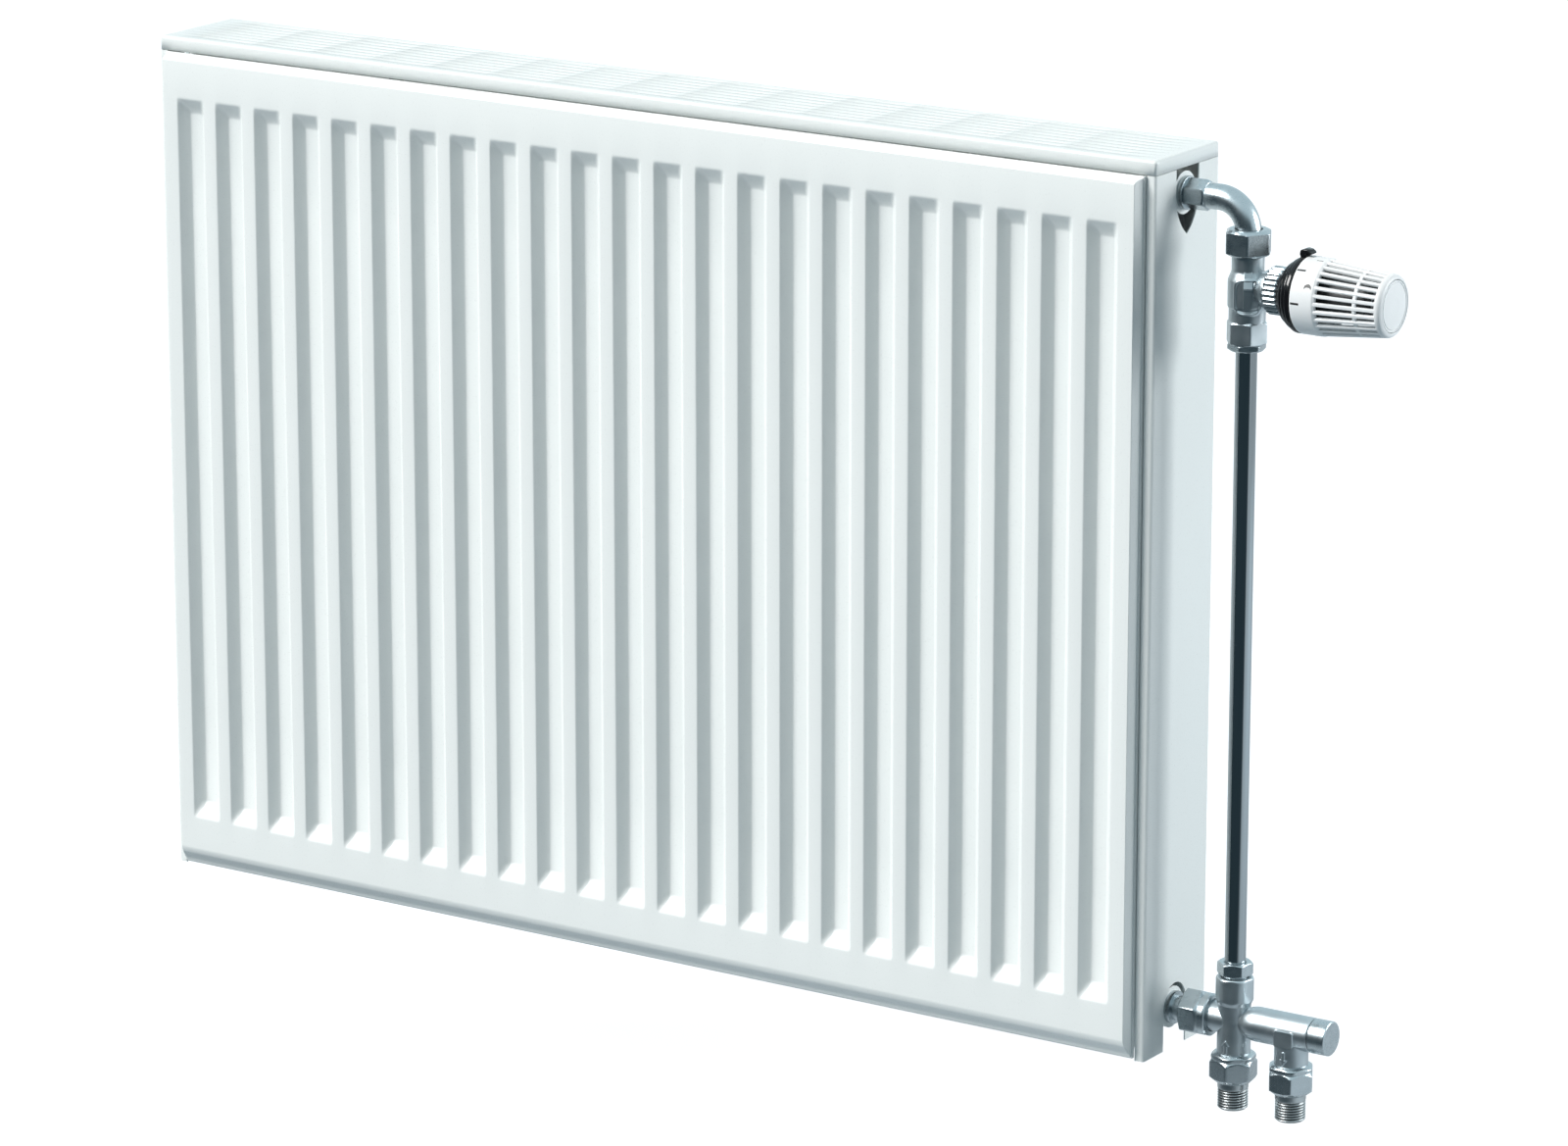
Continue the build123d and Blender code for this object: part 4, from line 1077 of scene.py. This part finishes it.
def shutoff_tube(origin):
    """The tube along X: a cone out of the column, then a cylinder with a flat rounded pad on its front."""
    places, base = evenly([
        (-0.004, 0.0058), (0.004, 0.0068), (0.0085, 0.0084), (0.0120, 0.0104), (0.0165, tube_radius),
        (tube_end - 0.0004, tube_radius), (tube_end, tube_radius - 0.0004),
    ], 0.002, 130)
    angle = angles_round(192)[None, :]
    front = angle - np.pi
    pad_flat = (tube_radius + pad_relief) / np.maximum(np.cos(front), 0.5)
    pad_low = np.sin(front) * pad_flat - pad_drop
    pad_along = places[:, None] - (second - block)[0]
    pad = rounded_patch(pad_low, pad_along, *pad_half, pad_corner, pad_edge)
    radii = base + np.maximum(pad_flat - base, 0) * pad * (np.cos(front) > 0.5)
    return around(*with_ends(places, radii), origin, "x", 192), False, True


block_piece = shape_piece("block_casting", [
    hexagonal(socket_outline, socket_flats, block, "z", turn=np.radians(12), rounding=0.001),
    neck_down(column_outline, block, 1),
    neck_down(branch_neck_outline, second, -1),
    bored(turned(left_outline, block, "x", 0.0006, 128)),
    shutoff_tube(block),
])
fit(block_piece, cast, "nickel", "radiator", "connection_block")
coat(rubber, "shutoff_plug", "cap_seal")
coat(brass, "shutoff_spindle", "shutoff_gland")

cap_length = cap_high[0] - cap_low[0]
cap_floor = cap_length - 0.003
cap_bore = 0.0101
cap_outline = [
    (cap_floor, 0), (cap_floor, cap_bore), (0, cap_bore), (0, tube_radius - 0.0005),
    (0.0005, tube_radius), (cap_length - 0.0006, tube_radius), (cap_length, tube_radius - 0.0007),
    (cap_length - 0.0001, 0.0070), (cap_length - 0.0001, 0),
]
cap_start = np.array([cap_low[0], block[1], lower_z])
cap = turned(cap_outline, cap_start, "x", 0.0003, 128)
fit(shape_piece("end_cap_form", [cap]), nickel, "nickel", "end_cap", "end_cap")


# Tails. Turned brass, nickel-plated: a plain one with a shoulder screwed into the lower tapping, and two
# that end in half-inch pipe threads for the house's pipes, with painted shade darkening the valleys.

thread_pitch = 0.001814
thread_depth = 0.00116
thread_length = 0.0177
thread_start = 0.0003
thread_end = 0.0146
thread_fade = 0.0015
thread_chamfer = 0.0012
thread_radius = 0.0102
thread_bore = 0.006
tail_collar = 0.0106
tail_collar_length = 0.003


def threaded_tail(foot):
    """A helical ridge: the radius follows a triangle wave of height less turns, fading at both ends."""
    places = np.linspace(0, thread_length, 150)[:, None]
    angle = angles_round(96)[None, :]
    phase = (places / thread_pitch - angle / (2 * np.pi)) % 1
    ridge = soft_least(np.abs(2 * phase - 1), 0.86, 0.2)
    fade = np.clip(np.minimum(places - thread_start, thread_end - places) / thread_fade, 0, 1)
    radii = thread_radius - thread_depth * (1 - ridge) * fade
    radii = np.minimum(radii, thread_radius - thread_chamfer + places)
    return around(*with_ends(places, radii, thread_bore), foot, "z", 96), True, True


def cut_thread(foot):
    """Nickel with painted shade that darkens a thread's valleys, by the distance from the tail's axis."""
    def recipe(pen):
        place = pen.node("TexCoord", output="Object")
        out = pen.node("VectorMath", {"operation": "SUBTRACT"}, {0: place, 1: foot})
        flat = pen.node("VectorMath", {"operation": "MULTIPLY"}, {0: out, 1: (1, 1, 0)})
        reach = pen.node("VectorMath", {"operation": "LENGTH"}, {0: flat}, output="Value")
        crest = (reach - (thread_radius - thread_depth)) * (1 / thread_depth)
        return {
            # Painted shade: near-black colour at the valley floors, fading to plain nickel at the crests.
            "Base Color": crest.mixed((0.03, 0.03, 0.028, 1), (0.46, 0.49, 0.5, 1)),
            "Metallic": 1.0,
            "Roughness": 0.42 - 0.14 * crest,
        }
    return recipe


for name in ("flow_tail", "return_tail"):
    low, high = corners_of(name)
    foot = np.array([(low[0] + high[0]) / 2, riser_axis[1], low[2]])
    length = high[2] - low[2]
    shoulder = length - tail_collar_length
    shank = bored(turned([
        (thread_length, thread_bore), (thread_length, tail_radius), (shoulder, tail_radius),
        (shoulder, tail_collar), (length, tail_collar), (length, thread_bore),
    ], foot, "z", 0.0002))
    tail = shape_piece(name + "_form", [threaded_tail(foot), shank], crease=50.0)
    fit(tail, finish(name + "_thread", cut_thread(foot)), "nickel", "radiator", name)
coat(nickel, "lower_tail")


# Studio. A pale floor that the camera sees as white, a large soft lamp to the upper left in front, a weaker
# one to the right and behind, and a pale world. For metal, the room in front of the part is dark, with a
# pale ceiling.

floor_drop = 0.12
floor_half = 30.0
fill = 0.21
dark_room = (0.042, 0.07, 0.086, 1)
to_room = (-0.26, -0.966, 0.0)
centre = (cad_low + cad_high) / 2


def eased(pen, value, start, end, least, most):
    """A value taken from one range to another along an S-curve."""
    ranges = {0: value, 1: start, 2: end, 3: least, 4: most}
    return pen.node("MapRange", {"interpolation_type": "SMOOTHSTEP"}, ranges)


def towards(pen, place, direction):
    """How far a place lies in a direction."""
    return pen.node("VectorMath", {"operation": "DOT_PRODUCT"}, {0: place, 1: direction}, output="Value")


def floor_paint(pen):
    """Pale grey-blue paint that glows white for the camera, and for metal less on the dark side in front."""
    seen = pen.node("LightPath", output="Is Camera Ray")
    shine = pen.node("LightPath", output="Is Glossy Ray")
    place = pen.node("TexCoord", output="Object")
    dark = eased(pen, towards(pen, place, to_room), -0.1, 0.32, 0.0, 1.0)
    worn = pen.noise(0.6)
    paint = worn.mixed((0.24, 0.29, 0.325, 1), (0.26, 0.31, 0.345, 1))
    glow = dark.mixed((0.35, 0.37, 0.38, 1), dark_room)
    return {
        "Base Color": (shine * dark).mixed(paint, (0, 0, 0, 1)),
        "Roughness": 0.9,
        "Specular IOR Level": 0.0,
        "Emission Color": shine.mixed(0.9 * seen, glow),
        "Emission Strength": 1.0,
    }


corner = floor_half * np.array([[[-1.0, -1.0], [1.0, -1.0]], [[-1.0, 1.0], [1.0, 1.0]]])
level = np.full((2, 2, 1), cad_low.z - floor_drop)
floor = shape_piece("floor", [(np.concatenate([corner, level], axis=-1)[::-1], False, False)], closed=False)
floor.data.materials.append(finish("white_floor", floor_paint))
floor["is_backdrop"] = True

world = bpy.data.worlds.new("studio")
bpy.context.scene.world = world
world.use_nodes = True
world.node_tree.nodes.clear()
sky = Link(world.node_tree)
direction = sky.node("TexCoord", output="Generated")
in_front = eased(sky, towards(sky, direction, to_room), 0.05, 0.4, 0.0, 1.0)
ceiling = eased(sky, towards(sky, direction, (0, 0, 1)), 0.15, 0.55, 1.0, 0.0)
seen = sky.node("LightPath", output="Is Camera Ray")
shine = sky.node("LightPath", output="Is Glossy Ray")
through = sky.node("LightPath", output="Is Transmission Ray")
strength = fill + (1 - fill) * (seen + through + shine)
tint = seen.mixed((0.75, 0.93, 1.0, 1), (1, 1, 1, 1))
colour = (shine * in_front * ceiling).mixed(tint, dark_room)
background = sky.node("Background", {}, {"Color": colour, "Strength": strength})
sky.node("OutputWorld", {}, {"Surface": background})


def lamp(name, direction, distance, size, power, colour):
    """A square area lamp that looks at the part's middle from a direction."""
    light = bpy.data.lights.new(name, "AREA")
    light.size = size
    light.energy = power
    light.color = colour
    stand = bpy.data.objects.new(name, light)
    bpy.context.scene.collection.objects.link(stand)
    way = type(centre)(direction).normalized()
    stand.location = centre + way * distance
    stand.rotation_euler = way.to_track_quat("Z", "Y").to_euler()


lamp("key", (-0.51, -0.68, 0.76), distance=16.0, size=6.9, power=3420.0, colour=(1.0, 0.985, 0.97))
lamp("side", (0.86, 0.5, 0.25), distance=2.4, size=1.0, power=38.0, colour=(0.97, 0.99, 1.0))

camera = bpy.data.cameras.new("camera")
camera.sensor_width = 36.0
camera.lens = 152.8
camera.clip_end = 100.0
eye = bpy.data.objects.new("camera", camera)
bpy.context.scene.collection.objects.link(eye)
eye.location = (2.469, -3.669, 1.137)
camera_pitch = -15.02
camera_heading = 33.35
eye.rotation_euler = np.radians((90 + camera_pitch, 0, camera_heading))
bpy.context.scene.camera = eye
bpy.context.scene.view_settings.view_transform = "Standard"

low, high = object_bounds()
